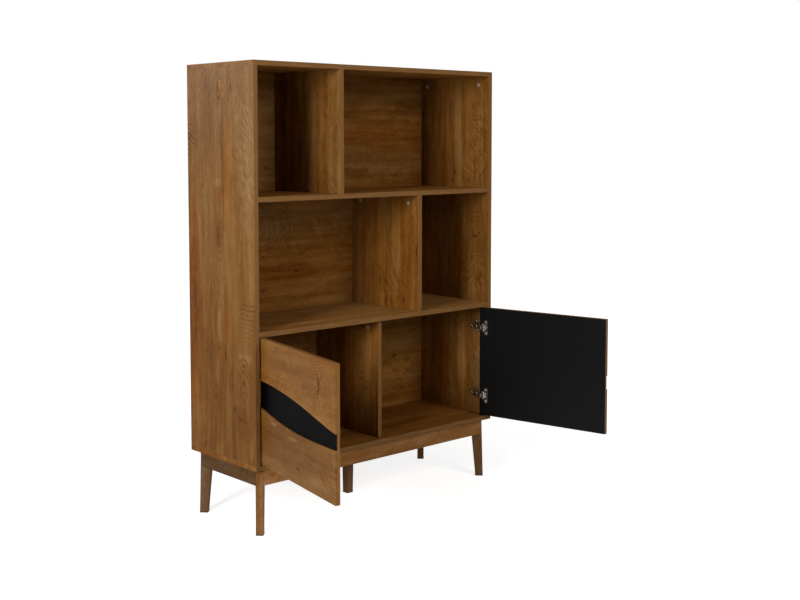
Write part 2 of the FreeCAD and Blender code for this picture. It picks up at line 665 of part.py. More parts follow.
DOOR_HINGE_X = -INNER_X + DOOR_GAP_HINGE
DOOR_FREE_X = -DOOR_GAP_MIDDLE / 2
DOOR_WIDTH = DOOR_FREE_X - DOOR_HINGE_X
DOOR_LOW_Z = FLOOR_OF_ROW[0] + DOOR_GAP_BOTTOM
DOOR_HIGH_Z = CEILING_OF_ROW[0] - DOOR_GAP_TOP
DOOR_HEIGHT = DOOR_HIGH_Z - DOOR_LOW_Z
CORE_FRONT_Y = FRONT_Y + DOOR_FRONT
DOOR_INNER_Y = FRONT_Y + DOOR_THICKNESS
PIVOT_X = DOOR_HINGE_X + PIVOT_FROM_EDGE
PIVOT_Y = FRONT_Y + PIVOT_FROM_FRONT
INNER_FACE = DOOR_THICKNESS - PIVOT_FROM_FRONT
PANEL_FACE = -(PIVOT_FROM_EDGE + DOOR_GAP_HINGE)
CUP_X = CUP_FROM_EDGE + CUP_RADIUS - PIVOT_FROM_EDGE
HINGE_HEIGHTS = [("lower", DOOR_LOW_Z + HINGE_FROM_END), ("upper", DOOR_HIGH_Z - HINGE_FROM_END)]


def leaf_edge(shares):
    """The smooth edge of a front beside the black leaf, from the hinge side to the free side."""
    points = []
    for wide_share, high_share in shares:
        x = DOOR_HINGE_X + DOOR_WIDTH * wide_share
        z = DOOR_LOW_Z + DOOR_HEIGHT * high_share
        points.append(FreeCAD.Vector(x, FRONT_Y, z))
    curve = Part.BSplineCurve()
    curve.interpolate(points)
    return curve.toShape(), points[0], points[-1]


def door_front(shares, far_z):
    """One wood front of the door, between its leaf edge and the level far_z."""
    edge, start, end = leaf_edge(shares)
    hinge_corner = FreeCAD.Vector(DOOR_HINGE_X, FRONT_Y, far_z)
    free_corner = FreeCAD.Vector(DOOR_FREE_X, FRONT_Y, far_z)
    lines = [Part.makeLine(end, free_corner), Part.makeLine(free_corner, hinge_corner)]
    lines.append(Part.makeLine(hinge_corner, start))
    outline = Part.Wire([edge] + lines)
    front = Part.Face(outline).extrude(Y_AXIS * DOOR_FRONT)
    shown = [edge for edge in front.Edges if edge.BoundBox.YMax < FRONT_Y + DOOR_CHAMFER]
    return front.makeChamfer(DOOR_CHAMFER, shown)


def door_core():
    """The black board behind both fronts."""
    low = (DOOR_HINGE_X, CORE_FRONT_Y, DOOR_LOW_Z)
    high = (DOOR_FREE_X, DOOR_INNER_Y, DOOR_HIGH_Z)
    hidden = CORE_FRONT_Y + DOOR_CHAMFER
    return rounded(block(low, high), DOOR_CHAMFER, lambda edge: edge.BoundBox.YMax > hidden)


def hinge_cup():
    """The drawn steel cup and its flange, about the pivot at the origin."""
    floor_y = INNER_FACE - CUP_DEPTH
    shell = rod(FreeCAD.Vector(CUP_X, floor_y, 0), Y_AXIS, CUP_DEPTH, CUP_RADIUS)
    low = (CUP_X, INNER_FACE, -FLANGE_LENGTH / 2)
    high = (CUP_X + FLANGE_REACH, INNER_FACE + FLANGE_THICKNESS, FLANGE_LENGTH / 2)
    ears = rounded(block(low, high), FLANGE_ROUNDING, lambda edge: along(edge, Y_AXIS))
    rim = rod(FreeCAD.Vector(CUP_X, INNER_FACE, 0), Y_AXIS, FLANGE_THICKNESS, FLANGE_RADIUS)
    hollow_depth = CUP_DEPTH - CUP_WALL + FLANGE_THICKNESS
    hollow_start = FreeCAD.Vector(CUP_X, floor_y + CUP_WALL, 0)
    hollow = rod(hollow_start, Y_AXIS, hollow_depth, CUP_RADIUS - CUP_WALL)
    pin_hole = hinge_pin(HOLE_CLEARANCE)
    holes = [place(screw_hole(CUP_SCREW_IN_WOOD), seat, Y_AXIS * -1) for seat in cup_screw_seats()]
    return shell.fuse([ears, rim]).removeSplitter().cut([hollow, pin_hole] + holes)


def cup_screw_seats():
    """The two screw seats on the flange, about the pivot."""
    x = CUP_X + CUP_SCREW_OFFSET
    y = INNER_FACE + FLANGE_THICKNESS
    return [FreeCAD.Vector(x, y, side * CUP_SCREW_SPACING / 2) for side in (-1, 1)]


def cup_bore():
    """The bore that the cup needs in the door, about the pivot."""
    start = FreeCAD.Vector(CUP_X, INNER_FACE - CUP_DEPTH - HOLE_CLEARANCE, 0)
    return rod(start, Y_AXIS, CUP_DEPTH + HOLE_CLEARANCE, CUP_RADIUS + HOLE_CLEARANCE)


def hinge_pin(growth=0.0):
    """The pin across the cup, whose ends stay within the cup's wall."""
    half = math.sqrt(CUP_RADIUS ** 2 - (CUP_X + HINGE_PIN_RADIUS) ** 2) + growth
    return rod(Z_AXIS * -half, Z_AXIS, half * 2, HINGE_PIN_RADIUS + growth)


def hinge_arm():
    """The arm on the side panel, whose neck curves round the door's edge to the pin."""
    half = NECK_WIDTH / 2
    thin = NECK_THICKNESS / 2
    inside = NECK_RADIUS - thin
    outside = NECK_RADIUS + thin
    base = Z_AXIS * -half
    eye = rod(base, Z_AXIS, NECK_WIDTH, EYE_RADIUS)
    spoke = block((0, -thin, -half), (NECK_RADIUS, thin, half))
    sector = Part.makeCylinder(outside, NECK_WIDTH, base, Z_AXIS, NECK_TURN)
    bend = sector.cut(rod(base, Z_AXIS, NECK_WIDTH, inside))
    turn = math.radians(NECK_TURN)
    neck_end = FreeCAD.Vector(NECK_RADIUS * math.cos(turn), NECK_RADIUS * math.sin(turn), 0)
    sheet_middle = PANEL_FACE + ARM_LIFT + ARM_SHEET / 2
    arm_front = FreeCAD.Vector(sheet_middle, ARM_START, 0)
    link = strip(neck_end, arm_front, NECK_THICKNESS, NECK_WIDTH)
    corner = rod(arm_front + base, Z_AXIS, NECK_WIDTH, thin)
    joint = rod(neck_end + base, Z_AXIS, NECK_WIDTH, thin)
    web_low = PANEL_FACE + ARM_LIFT
    web_high = web_low + ARM_SHEET
    web = block((web_low, ARM_START, -ARM_WIDTH / 2), (web_high, ARM_BACK, ARM_WIDTH / 2))
    cheeks = []
    for side in (-1, 1):
        edges = sorted((side * ARM_WIDTH / 2, side * (ARM_WIDTH / 2 - ARM_SHEET)))
        cheeks.append(block((web_high - ARM_SIDE, ARM_START, edges[0]), (web_high, ARM_BACK, edges[1])))
    pin_hole = hinge_pin(HINGE_PIN_CLEARANCE)
    holes = [place(arm_screw_hole(), seat, X_AXIS * -1) for seat in arm_screw_seats()]
    whole = eye.fuse([spoke, bend, link, corner, joint, web] + cheeks)
    return whole.cut([pin_hole] + holes).removeSplitter()


def strip(start, end, thickness, width):
    """A flat bar between two points on one level, its width along Z."""
    direction = (end - start).normalize()
    across = direction.cross(Z_AXIS) * (thickness / 2)
    drop = Z_AXIS * (-width / 2)
    points = [start + across + drop, end + across + drop, end - across + drop, start - across + drop]
    return prism(points, width)


def arm_screw_seats():
    """The seats of the two screws on the arm, about the pivot."""
    middle = MOUNT_SETBACK - PIVOT_FROM_FRONT
    x = PANEL_FACE + ARM_LIFT + ARM_SHEET
    return [FreeCAD.Vector(x, middle + side * ARM_SCREW_SPACING / 2, 0) for side in (-1, 1)]


def arm_screw_hole():
    """The hole for a screw of the arm, through the sheet and into the rail."""
    return screw_hole(ARM_SCREW_LENGTH)


def mounting_plate():
    """The plate screwed to the side panel, with the rail that carries the arm."""
    middle = MOUNT_SETBACK - PIVOT_FROM_FRONT
    half = WING_LENGTH / 2
    wing_low = (PANEL_FACE, middle - WING_WIDTH / 2, -half)
    wing_high = (PANEL_FACE + WING_THICKNESS, middle + WING_WIDTH / 2, half)
    wings = rounded(block(wing_low, wing_high), WING_WIDTH / 4, lambda edge: along(edge, X_AXIS))
    rail_low = (PANEL_FACE, middle - MOUNT_LENGTH / 2, -RAIL_WIDTH / 2)
    rail_high = (PANEL_FACE + ARM_LIFT, middle + MOUNT_LENGTH / 2, RAIL_WIDTH / 2)
    rail = block(rail_low, rail_high)
    holes = [place(arm_screw_hole(), seat, X_AXIS * -1) for seat in arm_screw_seats()]
    holes += [place(screw_hole(mount_screw_length()), seat, X_AXIS * -1) for seat in mount_screw_seats()]
    return wings.fuse(rail).cut(holes).removeSplitter()


def mount_screw_length():
    """How far a screw of the mounting plate reaches below its head."""
    return WING_THICKNESS + SCREW_IN_WOOD


def mount_screw_seats():
    """The seats of the two screws on the wings, about the pivot."""
    middle = MOUNT_SETBACK - PIVOT_FROM_FRONT
    x = PANEL_FACE + WING_THICKNESS
    return [FreeCAD.Vector(x, middle, side * MOUNT_SCREW_SPACING / 2) for side in (-1, 1)]


def at_hinge(shape, height):
    """A copy of a shape made about the pivot, set at a hinge of the left door."""
    copy = shape.copy()
    copy.translate(FreeCAD.Vector(PIVOT_X, PIVOT_Y, height))
    return copy


def mirrored(shape):
    """The right door's counterpart of a shape of the left door."""
    return shape.mirror(ORIGIN, X_AXIS)


def swung(shape, side):
    """A copy of a closed door's shape swung open about its own pivot."""
    copy = shape.copy()
    copy.rotate(FreeCAD.Vector(side * -PIVOT_X, PIVOT_Y, 0), Z_AXIS, side * DOOR_OPEN_ANGLE)
    return copy


def closed_door():
    """The pieces of the closed left door: those that swing, and those that stay on the side panel."""
    swings = {"door_core": door_core()}
    swings["door_upper_front"] = door_front(UPPER_EDGE_SHARES, DOOR_HIGH_Z)
    swings["door_lower_front"] = door_front(LOWER_EDGE_SHARES, DOOR_LOW_Z)
    stays = {}
    pins = []
    cup_screws = []
    mount_screws = []
    arm_screws = []
    panel_holes = []
    for level, height in HINGE_HEIGHTS:
        cutters = [at_hinge(cup_bore(), height)]
        cutters += [at_hinge(place(screw_hole(CUP_SCREW_IN_WOOD), seat, Y_AXIS * -1), height)
                    for seat in cup_screw_seats()]
        for name in ("door_core", "door_%s_front" % level):
            swings[name] = swings[name].cut(cutters)
        swings["%s_hinge_cup" % level] = at_hinge(hinge_cup(), height)
        stays["%s_hinge_arm" % level] = at_hinge(hinge_arm(), height)
        stays["%s_hinge_mount" % level] = at_hinge(mounting_plate(), height)
        pins.append(at_hinge(hinge_pin(), height))
        for seat in cup_screw_seats():
            cup_screws.append(at_hinge(place(screw(CUP_SCREW_IN_WOOD), seat, Y_AXIS * -1), height))
        for seat in mount_screw_seats():
            mount_screws.append(at_hinge(place(screw(mount_screw_length()), seat, X_AXIS * -1), height))
            hole = place(screw_hole(mount_screw_length()), seat, X_AXIS * -1)
            panel_holes.append(at_hinge(hole, height))
        for seat in arm_screw_seats():
            arm_screws.append(at_hinge(place(screw(ARM_SCREW_LENGTH), seat, X_AXIS * -1), height))
    swings["hinge_pins"] = Part.makeCompound(pins)
    swings["hinge_cup_screws"] = Part.makeCompound(cup_screws)
    return swings, stays, mount_screws, arm_screws, panel_holes


def build_doors(nodes, tools):
    """Both doors, swung open, with their hinges."""
    swings, stays, mount_screws, arm_screws, panel_holes = closed_door()
    all_mount_screws = []
    all_arm_screws = []
    for side_name, side in (("left", -1), ("right", 1)):
        chosen = mirrored if side > 0 else Part.Shape.copy
        for name, shape in swings.items():
            nodes["%s_%s" % (side_name, name)] = swung(chosen(shape), side)
        for name, shape in stays.items():
            nodes["%s_%s" % (side_name, name)] = chosen(shape)
        all_mount_screws += [chosen(shape) for shape in mount_screws]
        all_arm_screws += [chosen(shape) for shape in arm_screws]
        tools.setdefault("%s_side_panel" % side_name, []).extend(chosen(hole) for hole in panel_holes)
    nodes["hinge_mount_screws"] = Part.makeCompound(all_mount_screws)
    nodes["hinge_arm_screws"] = Part.makeCompound(all_arm_screws)


def build():
    """Every node of the bookcase by name."""
    nodes = carcass_boards()
    groove_boards(nodes)
    for row, name in enumerate(BACK_PANELS):
        nodes[name] = back_panel(row)
    joinery = Joinery()
    join_carcass(joinery)
    tools = joinery.tools
    build_base(nodes, tools)
    build_doors(nodes, tools)
    for name, cutters in tools.items():
        nodes[name] = cut_all(nodes[name], cutters)
    nodes["cam_locks"] = Part.makeCompound(joinery.cams)
    nodes["cam_bolts"] = Part.makeCompound(joinery.bolts)
    nodes["wood_dowels"] = Part.makeCompound(joinery.dowels)
    nodes["carcass_screws"] = Part.makeCompound(joinery.screws)
    return nodes


def main():
    os.makedirs("parts", exist_ok=True)
    nodes = build()
    for name, shape in nodes.items():
        shape.exportStep("parts/%s.step" % name)
        state = "valid" if shape.isValid() else "BROKEN"
        print(name, len(shape.Solids), "solids", round(shape.Volume), "mm3", state)
    print(len(nodes), "nodes")


main()
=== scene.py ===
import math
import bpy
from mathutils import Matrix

bl_info = {
    "name": "Bookcase with open doors",
    "version": (1, 0, 0),
    "blender": (4, 5, 0),
    "location": "3D View > Sidebar > Bookcase",
    "description": "Finishes a bookcase with oak-print boards, black-cored doors, hinges and a splayed base",
    "category": "Object",
}

import bpy
from bpy.props import FloatProperty, FloatVectorProperty, PointerProperty
from mathutils import Vector

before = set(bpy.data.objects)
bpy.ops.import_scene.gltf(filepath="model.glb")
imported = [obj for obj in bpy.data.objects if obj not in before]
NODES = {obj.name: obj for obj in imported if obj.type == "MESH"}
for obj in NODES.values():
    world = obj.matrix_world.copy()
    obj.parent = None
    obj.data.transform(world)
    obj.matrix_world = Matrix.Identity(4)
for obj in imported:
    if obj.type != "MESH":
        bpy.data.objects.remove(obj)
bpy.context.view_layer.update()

DOOR_OPEN_ANGLE = math.radians(101.5)
# The doors' pivots and the hinge edge of a closed door's front
PIVOT_X, PIVOT_Y, DOOR_HINGE_EDGE = 0.4715, -0.1685, 0.4826
# How glossy the black foil on each door is
DOOR_GLOSS = {"left": 0.02, "right": 0.11}

# Noises: waves per metre along the grain, across it and through the board, then detail, roughness and warp.
# On plastic, metal and black foil the waves run along the object's own axes.
NOISES = {
    "band": ((1.1, 10.0, 6.0), 2.0, 0.5, 0.4),
    "warm band": ((0.9, 9.0, 7.0), 2.0, 0.5, 0.2),
    "figure": ((3.2, 46.0, 14.0), 3.0, 0.55, 0.0),
    "streak": ((6.0, 78.0, 40.0), 4.0, 0.62, 0.0),
    "cloud": ((14.0, 28.0, 12.0), 4.0, 0.66, 0.3),
    "fleck": ((60.0, 420.0, 200.0), 3.0, 0.65, 0.0),
    "fibre": ((40.0, 1300.0, 300.0), 2.0, 0.6, 0.0),
    "pore": ((22.0, 700.0, 200.0), 1.0, 0.5, 0.0),
    "stroke": ((28.0, 115.0, 26.0), 2.0, 0.55, 0.0),
    "stroke side": ((3.0, 5.0, 3.0), 1.0, 0.5, 0.0),
    "stroke patch": ((5.0, 14.0, 5.0), 2.0, 0.5, 0.0),
    "ripple sway": ((22.0, 55.0, 10.0), 3.0, 0.5, 0.0),
    "ripple patch": ((5.0, 24.0, 6.0), 2.0, 0.5, 0.0),
    "ring sway": ((2.2, 7.0, 4.0), 2.0, 0.5, 0.0),
    "ring drift": ((13.0, 36.0, 12.0), 2.0, 0.5, 0.0),
    "ring patch": ((3.5, 20.0, 8.0), 2.0, 0.5, 0.0),
    "ring strength": ((26.0, 44.0, 8.0), 3.0, 0.6, 0.0),
    "knot drift": ((11.0, 19.0, 5.0), 2.0, 0.5, 0.0),
    "knot twist": ((17.0, 13.0, 5.0), 2.0, 0.5, 0.0),
    "knot specks": ((55.0, 230.0, 60.0), 3.0, 0.6, 0.0),
    "crack wander": ((9.0, 44.0, 6.0), 3.0, 0.5, 0.0),
    "crack crumble": ((70.0, 120.0, 40.0), 3.0, 0.6, 0.0),
    "arc drift": ((9.0, 16.0, 6.0), 2.0, 0.5, 0.0),
    "patch drift": ((8.0, 40.0, 6.0), 3.0, 0.6, 0.0),
    "edge strip": ((14.0, 40.0, 420.0), 3.0, 0.6, 0.0),
    "door strip": ((14.0, 420.0, 14.0), 3.0, 0.6, 0.0),
    "black emboss": ((700.0, 700.0, 22.0), 3.0, 0.6, 0.0),
    "black cloud": ((5.0, 5.0, 3.0), 2.0, 0.5, 0.0),
    "plastic grain": ((900.0, 900.0, 900.0), 2.0, 0.5, 0.0),
    "metal cloud": ((160.0, 160.0, 160.0), 3.0, 0.6, 0.0),
}

# How much each layer of the print lightens and darkens it
BAND, FIGURE, STREAK, CLOUD, FLECK, STROKE = 0.95, 0.85, 0.60, 0.65, 0.45, 1.35
# The print gets no darker than this share of its main colour
DARKEST = 0.15
# A lighter part of the print is yellower and a darker one redder: green and blue follow red to these powers
GREEN_POWER, BLUE_POWER = 1.50, 2.70
# How far the hue swings between the olive and the ruddy bands
HUE_SWING = 3.0
# How far the clouds push the figure across the grain
FIGURE_PUSH = 0.012
# Slanting strokes lie at this angle to the grain, to either side: its cosine and its sine
SLANT_COSINE, SLANT_SINE = 0.77, 0.64
# How far ring lines sway over a board, drift close by and drift in a stack of arcs, in ring spacings from
# one side to the other
RING_SWAY, RING_DRIFT, ARC_DRIFT = 9.0, 0.6, 2.6
# How strongly ring lines show in the open print, in a knot and in a stack of arcs
OPEN_SHOWN, KNOT_SHOWN, ARC_SHOWN = 0.22, 0.85, 0.65
# Length along the grain of one ripple, and how far the ripples sway, in radians of their sine
RIPPLE, RIPPLE_SWAY = 0.0052, 24.0
# Share of the dark colour in the pores and in the fibres
PORE_SHARE, FIBRE_SHARE = 0.26, 0.11
# What is taken off the roughness again because the print's shine adds to it, and the oak foil's gloss
SHINE_MIDDLE, OAK_GLOSS = 0.08, 0.05
# Relief of the oak and of the black foil: strength and depth
OAK_RELIEF, BLACK_RELIEF = (0.05, 0.0004), (0.08, 0.0003)

# Where a knot's rings fade out, in shares of its reach
KNOT_FADE = (0.66, 1.0)
# Where a stack of arcs and a patch fade out, and where the arcs end, in radii of their ovals
ARC_FADE, ARC_END, PATCH_FADE = (0.5, 1.15), 1.2, (0.45, 1.15)
# A knot with a half width above this is big: it has a crack for a heart and wobbles less
BIG_KNOT = 0.025
WOBBLE, BIG_WOBBLE = 0.9, 0.45
# A face counts as looking along an axis where its normal's part on it passes from the first to the second
FACING = (0.6, 0.8)

# Colour factors on the base: red, green and blue are multiplied by these. The long aprons come out lighter
# and paler, the legs paler; the short aprons are stained and also darkened to about half: painted shade
# under the overhanging side panels.
LONG_APRON_TINT = (1.43, 1.57, 2.6)
SHORT_APRON_STAIN_AND_PAINTED_SHADE = (0.49, 0.56, 0.95)
LEG_STAIN = (1.0, 1.21, 2.5)
# How light each leg is: the wood differs from leg to leg, and the rear right leg is lifted by painted light
# out of its shade
LEG_TONES_AND_PAINTED_LIGHT = {"front_left_leg": 1.15, "front_right_leg": 0.82, "rear_left_leg": 0.74, "rear_right_leg": 1.5,
             "centre_leg": 1.0}

CAMERA_PLACE = (-2.5177, -3.0085, 1.1813)
CAMERA_TURN, CAMERA_DOWN = math.radians(-42.42), math.radians(4.0)
CAMERA_SHIFT, SENSOR_WIDTH = -0.0985, 36.0
FLOOR_REACH = 14.0
# The floor's own glow grows between these distances from the middle, so that the shadow shows near the feet
GLOW_NEAR, GLOW_FAR, GLOW_LEAST = 0.9, 2.2, 0.8
LAMP_WHITE = (1.0, 0.985, 0.96)
SIDE_LAMP_TURN, SIDE_LAMP_AWAY, SIDE_LAMP_HEIGHT = math.radians(68.3), 4.0, 1.75


# Settings that a user would change

def colour_property(name, description, default):
    return FloatVectorProperty(
        name=name, description=description, default=default, subtype="COLOR", size=3, min=0.0, max=1.0
    )


class OakPrintSettings(bpy.types.PropertyGroup):
    """The printed oak on the boards."""

    body: colour_property("Body", "Main colour of the print", (0.230, 0.096, 0.0185))
    ruddy: colour_property("Ruddy", "Colour of the warm bands", (0.250, 0.096, 0.0165))
    olive: colour_property("Olive", "Colour of the cool bands", (0.212, 0.101, 0.026))
    pale: colour_property("Pale flecks", "Colour of the light flecks", (0.350, 0.168, 0.048))
    dark: colour_property("Dark lines", "Colour of ring lines, pores and streaks", (0.070, 0.0205, 0.0024))
    knot: colour_property("Knots", "Colour of the hearts and cracks of the knots", (0.028, 0.0068, 0.0010))
    edge: colour_property("Edge strip", "Colour of the strips on the boards' edges", (0.236, 0.112, 0.037))
    ring_spacing: FloatProperty(
        name="Ring spacing", description="Distance between two ring lines", default=0.0125, min=0.002,
        max=0.1, unit="LENGTH"
    )
    roughness: FloatProperty(
        name="Roughness", description="Roughness of the foil", default=0.52, min=0.0, max=1.0,
        subtype="FACTOR"
    )


class BlackCoreSettings(bpy.types.PropertyGroup):
    """The black board of the doors."""

    black: colour_property("Black", "Colour of the black board", (0.0012, 0.0010, 0.0010))
    roughness: FloatProperty(
        name="Roughness", description="Roughness of the black board", default=0.6, min=0.0, max=1.0,
        subtype="FACTOR"
    )


class FittingSettings(bpy.types.PropertyGroup):
    """The metal and plastic parts."""

    nickel: colour_property("Nickel", "Colour of the plated hinges", (0.56, 0.53, 0.48))
    zinc: colour_property("Zinc", "Colour of the cams, screws and plates", (0.62, 0.59, 0.53))
    glide: colour_property("Glide", "Colour of the pads under the feet", (0.035, 0.028, 0.022))


class StageSettings(bpy.types.PropertyGroup):
    """Floor, light and camera."""

    floor: colour_property("Floor", "Colour of the floor", (0.86, 0.86, 0.86))
    key_power: FloatProperty(
        name="Side light", description="Power of the tall light on the left", default=111.0, min=0.0,
        unit="POWER"
    )
    fill_power: FloatProperty(
        name="Front light", description="Power of the wide light in front", default=76.0, min=0.0,
        unit="POWER"
    )
    gloss_power: FloatProperty(
        name="Gloss light", description="Power of the light that only adds gloss", default=190.0, min=0.0,
        unit="POWER"
    )
    ambient: FloatProperty(
        name="Room light", description="Strength of the even light from all round", default=0.11, min=0.0
    )
    lens: FloatProperty(
        name="Lens", description="Focal length on a 36 mm wide sensor", default=53.78, min=10.0, unit="CAMERA"
    )


GROUPS = {
    "bookcase_oak": OakPrintSettings,
    "bookcase_black": BlackCoreSettings,
    "bookcase_fittings": FittingSettings,
    "bookcase_stage": StageSettings,
}


# Shader nodes

class Sketch:
    """Adds shader nodes to one node tree and joins them."""

    def __init__(self, tree):
        self.tree = tree

    def node(self, kind, *inputs, **settings):
        """A new node with its own settings and its first inputs."""
        made = self.tree.nodes.new(kind)
        for name, value in settings.items():
            setattr(made, name, value)
        for index, value in enumerate(inputs):
            self.feed(made.inputs[index], value)
        return made

    def feed(self, socket, value):
        """Gives a socket a link or a value. A colour needs no alpha, and None leaves the socket alone."""
        if value is None:
            return
        if isinstance(value, bpy.types.NodeSocket):
            self.tree.links.new(value, socket)
        elif hasattr(socket.default_value, "__len__") and len(socket.default_value) == 4 and len(value) == 3:
            socket.default_value = (*value, 1.0)
        else:
            socket.default_value = value

    def use(self, group, labels, values):
        """The outputs of a node group that is given the values under their labels."""
        made = self.node("ShaderNodeGroup", node_tree=group)
        for label, value in zip(labels, values):
            self.feed(made.inputs[label], value)
        return made.outputs

    def sum(self, operation, first, second=None, third=None, clamp=False):
        """One operation on numbers."""
        made = self.node("ShaderNodeMath", first, second, third, operation=operation, use_clamp=clamp)
        return made.outputs[0]

    def vector(self, operation, first, second=None):
        """One operation on vectors, as a vector or as a number."""
        made = self.node("ShaderNodeVectorMath", first, second, operation=operation)
        return made.outputs["Value" if operation in ("LENGTH", "DOT_PRODUCT") else "Vector"]

    def parts(self, vector):
        return self.node("ShaderNodeSeparateXYZ", vector).outputs

    def joined(self, x, y, z):
        return self.node("ShaderNodeCombineXYZ", x, y, z).outputs[0]

    def turned(self, vector, angle):
        """The vector turned about the upright axis."""
        made = self.node("ShaderNodeMapping", vector)
        made.inputs["Rotation"].default_value = (0.0, 0.0, angle)
        return made.outputs[0]

    def noise(self, vector, name):
        """The noise of that name on a vector, from 0 to 1."""
        stretch, detail, rough, warp = NOISES[name]
        made = self.node("ShaderNodeTexNoise", self.vector("MULTIPLY", vector, stretch))
        for label, value in (("Scale", 1.0), ("Detail", detail), ("Roughness", rough), ("Distortion", warp)):
            made.inputs[label].default_value = value
        return made.outputs["Fac"]

    def swing(self, vector, name):
        """The noise of that name on a vector, from minus to plus a half."""
        return self.sum("SUBTRACT", self.noise(vector, name), 0.5)

    def centred(self, value, amount):
        """A value from 0 to 1 as one from minus to plus half the amount."""
        return self.sum("MULTIPLY", self.sum("SUBTRACT", value, 0.5), amount)

    def span(self, value, low, high, to_low=0.0, to_high=1.0):
        """The value's place between low and high, eased and held at the ends."""
        made = self.node(
            "ShaderNodeMapRange", value, low, high, to_low, to_high, interpolation_type="SMOOTHSTEP"
        )
        return made.outputs[0]

    def relief(self, shader, height, strength, depth):
        """A bump of the given height on the shader."""
        made = self.node("ShaderNodeBump")
        made.inputs["Strength"].default_value = strength
        made.inputs["Distance"].default_value = depth
        self.feed(made.inputs["Height"], height)
        self.feed(shader.inputs["Normal"], made.outputs[0])

    def seen(self):
        """1 for a ray that shows things, straight or by gloss or through glass, and 0 for one of light."""
        path = self.node("ShaderNodeLightPath").outputs
        mirrored = self.sum("MAXIMUM", path["Is Glossy Ray"], path["Is Transmission Ray"])
        return self.sum("MAXIMUM", path["Is Camera Ray"], mirrored)

    def mix(self, share, first, second):
        made = self.node("ShaderNodeMix", data_type="RGBA")
        self.feed(made.inputs[0], share)
        self.feed(made.inputs[6], first)
        self.feed(made.inputs[7], second)
        return made.outputs[2]

    def blend(self, share, first, second):
        made = self.node("ShaderNodeMix", data_type="FLOAT")
        self.feed(made.inputs[0], share)
        self.feed(made.inputs[2], first)
        self.feed(made.inputs[3], second)
        return made.outputs[0]


def new_material(name):
    material = bpy.data.materials.new(name)
    material.use_nodes = True
    shader = material.node_tree.nodes["Principled BSDF"]
    return material, Sketch(material.node_tree), shader


def new_group(name, inputs, outputs):
    """A node group whose sockets are numbers, but for the sheet, a vector, and the colour."""
    group = bpy.data.node_groups.new(name, "ShaderNodeTree")
    for label in inputs:
        kind = "NodeSocketVector" if label == "Sheet" else "NodeSocketFloat"
        group.interface.new_socket(name=label, in_out="INPUT", socket_type=kind)
    for label in outputs:
        kind = "NodeSocketColor" if label == "Colour" else "NodeSocketFloat"
        group.interface.new_socket(name=label, in_out="OUTPUT", socket_type=kind)
    source = group.nodes.new("NodeGroupInput")
    target = group.nodes.new("NodeGroupOutput")
    return group, Sketch(group), source.outputs, target.inputs


KNOT_INPUTS = ["Sheet", "Along", "Across", "Half length", "Half width", "Rings", "Reach", "Heart", "Lean",
               "Wobble", "Cracked", "Field", "Dark", "Shown"]
ARC_INPUTS = ["Sheet", "Along", "Across", "Half length", "Half width", "Spacing", "Bow", "Field", "Shown"]
PATCH_INPUTS = ["Sheet", "Along", "Across", "Half length", "Half width", "Lighter", "Warmer", "Stroked",
                "Light", "Warm", "Strokes"]
PRINT_INPUTS = ["Sheet", "Field", "Dark", "Shown", "Light", "Warm", "Strokes", "Rings", "Figure"]


def oval_place(s, source):
    """A sheet's place in an oval: along it in half lengths, and across it in half widths."""
    u, v = s.parts(source["Sheet"])[:2]
    p = s.sum("DIVIDE", s.sum("SUBTRACT", u, source["Along"]), source["Half length"])
    q = s.sum("DIVIDE", s.sum("SUBTRACT", v, source["Across"]), source["Half width"])
    return p, q


def knot_group():
    """One knot on a sheet. Its rings are ovals about its place: the length of (u - along) / half length and
    (v - across) / half width, which takes the ring field's place inside the knot's reach. Lean shortens the
    lower half. A small knot has a crumbled heart and a big one a forked crack."""
    group, s, source, target = new_group("Oak knot", KNOT_INPUTS, ["Field", "Dark", "Shown"])
    sheet = source["Sheet"]
    p, q = oval_place(s, source)
    p = s.sum("MINIMUM", p, s.sum("MULTIPLY", p, source["Lean"]))
    p = s.sum("ADD", p, s.sum("MULTIPLY", s.swing(sheet, "knot drift"), source["Wobble"]))
    q = s.sum("ADD", q, s.sum("MULTIPLY", s.swing(sheet, "knot twist"), source["Wobble"]))
    distance = s.vector("LENGTH", s.joined(p, q, 0.0))
    inside = s.sum("LESS_THAN", distance, source["Reach"])
    shown = s.span(s.sum("DIVIDE", distance, source["Reach"]), *KNOT_FADE, 1.0, 0.0)
    ovals = s.sum("MULTIPLY", s.sum("MULTIPLY", distance, source["Rings"]), -1.0)
    # The heart of a small knot: specks that get rarer away from its middle
    rarer = s.sum("MULTIPLY_ADD", distance, 0.22, 0.34)
    heart = s.span(s.sum("SUBTRACT", s.noise(sheet, "knot specks"), rarer), 0.0, 0.16)
    heart = s.sum("MULTIPLY", heart, s.span(distance, 0.7, 1.5, 1.0, 0.0))
    heart = s.sum("MULTIPLY", heart, s.sum("SUBTRACT", 1.0, source["Cracked"]))
    # The crack of a big one: a wandering line across the grain with a crumbled rim, forked at one end
    wander = s.sum("MULTIPLY", s.swing(sheet, "crack wander"), 0.9)
    fork = s.sum("MULTIPLY", s.sum("MAXIMUM", q, 0.0), 0.45)
    line = s.sum("ABSOLUTE", s.sum("SUBTRACT", s.sum("ABSOLUTE", s.sum("ADD", p, wander)), fork))
    crumble = s.sum("MULTIPLY", s.noise(sheet, "crack crumble"), 0.08)
    crack = s.span(s.sum("ADD", line, crumble), 0.045, 0.115, 1.0, 0.0)
    ends = s.span(s.sum("ABSOLUTE", q), 0.25, 0.85, 1.0, 0.0)
    crack = s.sum("MULTIPLY", s.sum("MULTIPLY", crack, ends), source["Cracked"])
    dark = s.sum("MULTIPLY", s.sum("MAXIMUM", s.sum("MULTIPLY", heart, 0.8), crack), source["Heart"])
    s.feed(target["Field"], s.blend(inside, source["Field"], ovals))
    s.feed(target["Dark"], s.sum("MAXIMUM", dark, source["Dark"]))
    s.feed(target["Shown"], s.sum("MAXIMUM", s.sum("MULTIPLY", shown, KNOT_SHOWN), source["Shown"]))
    return group


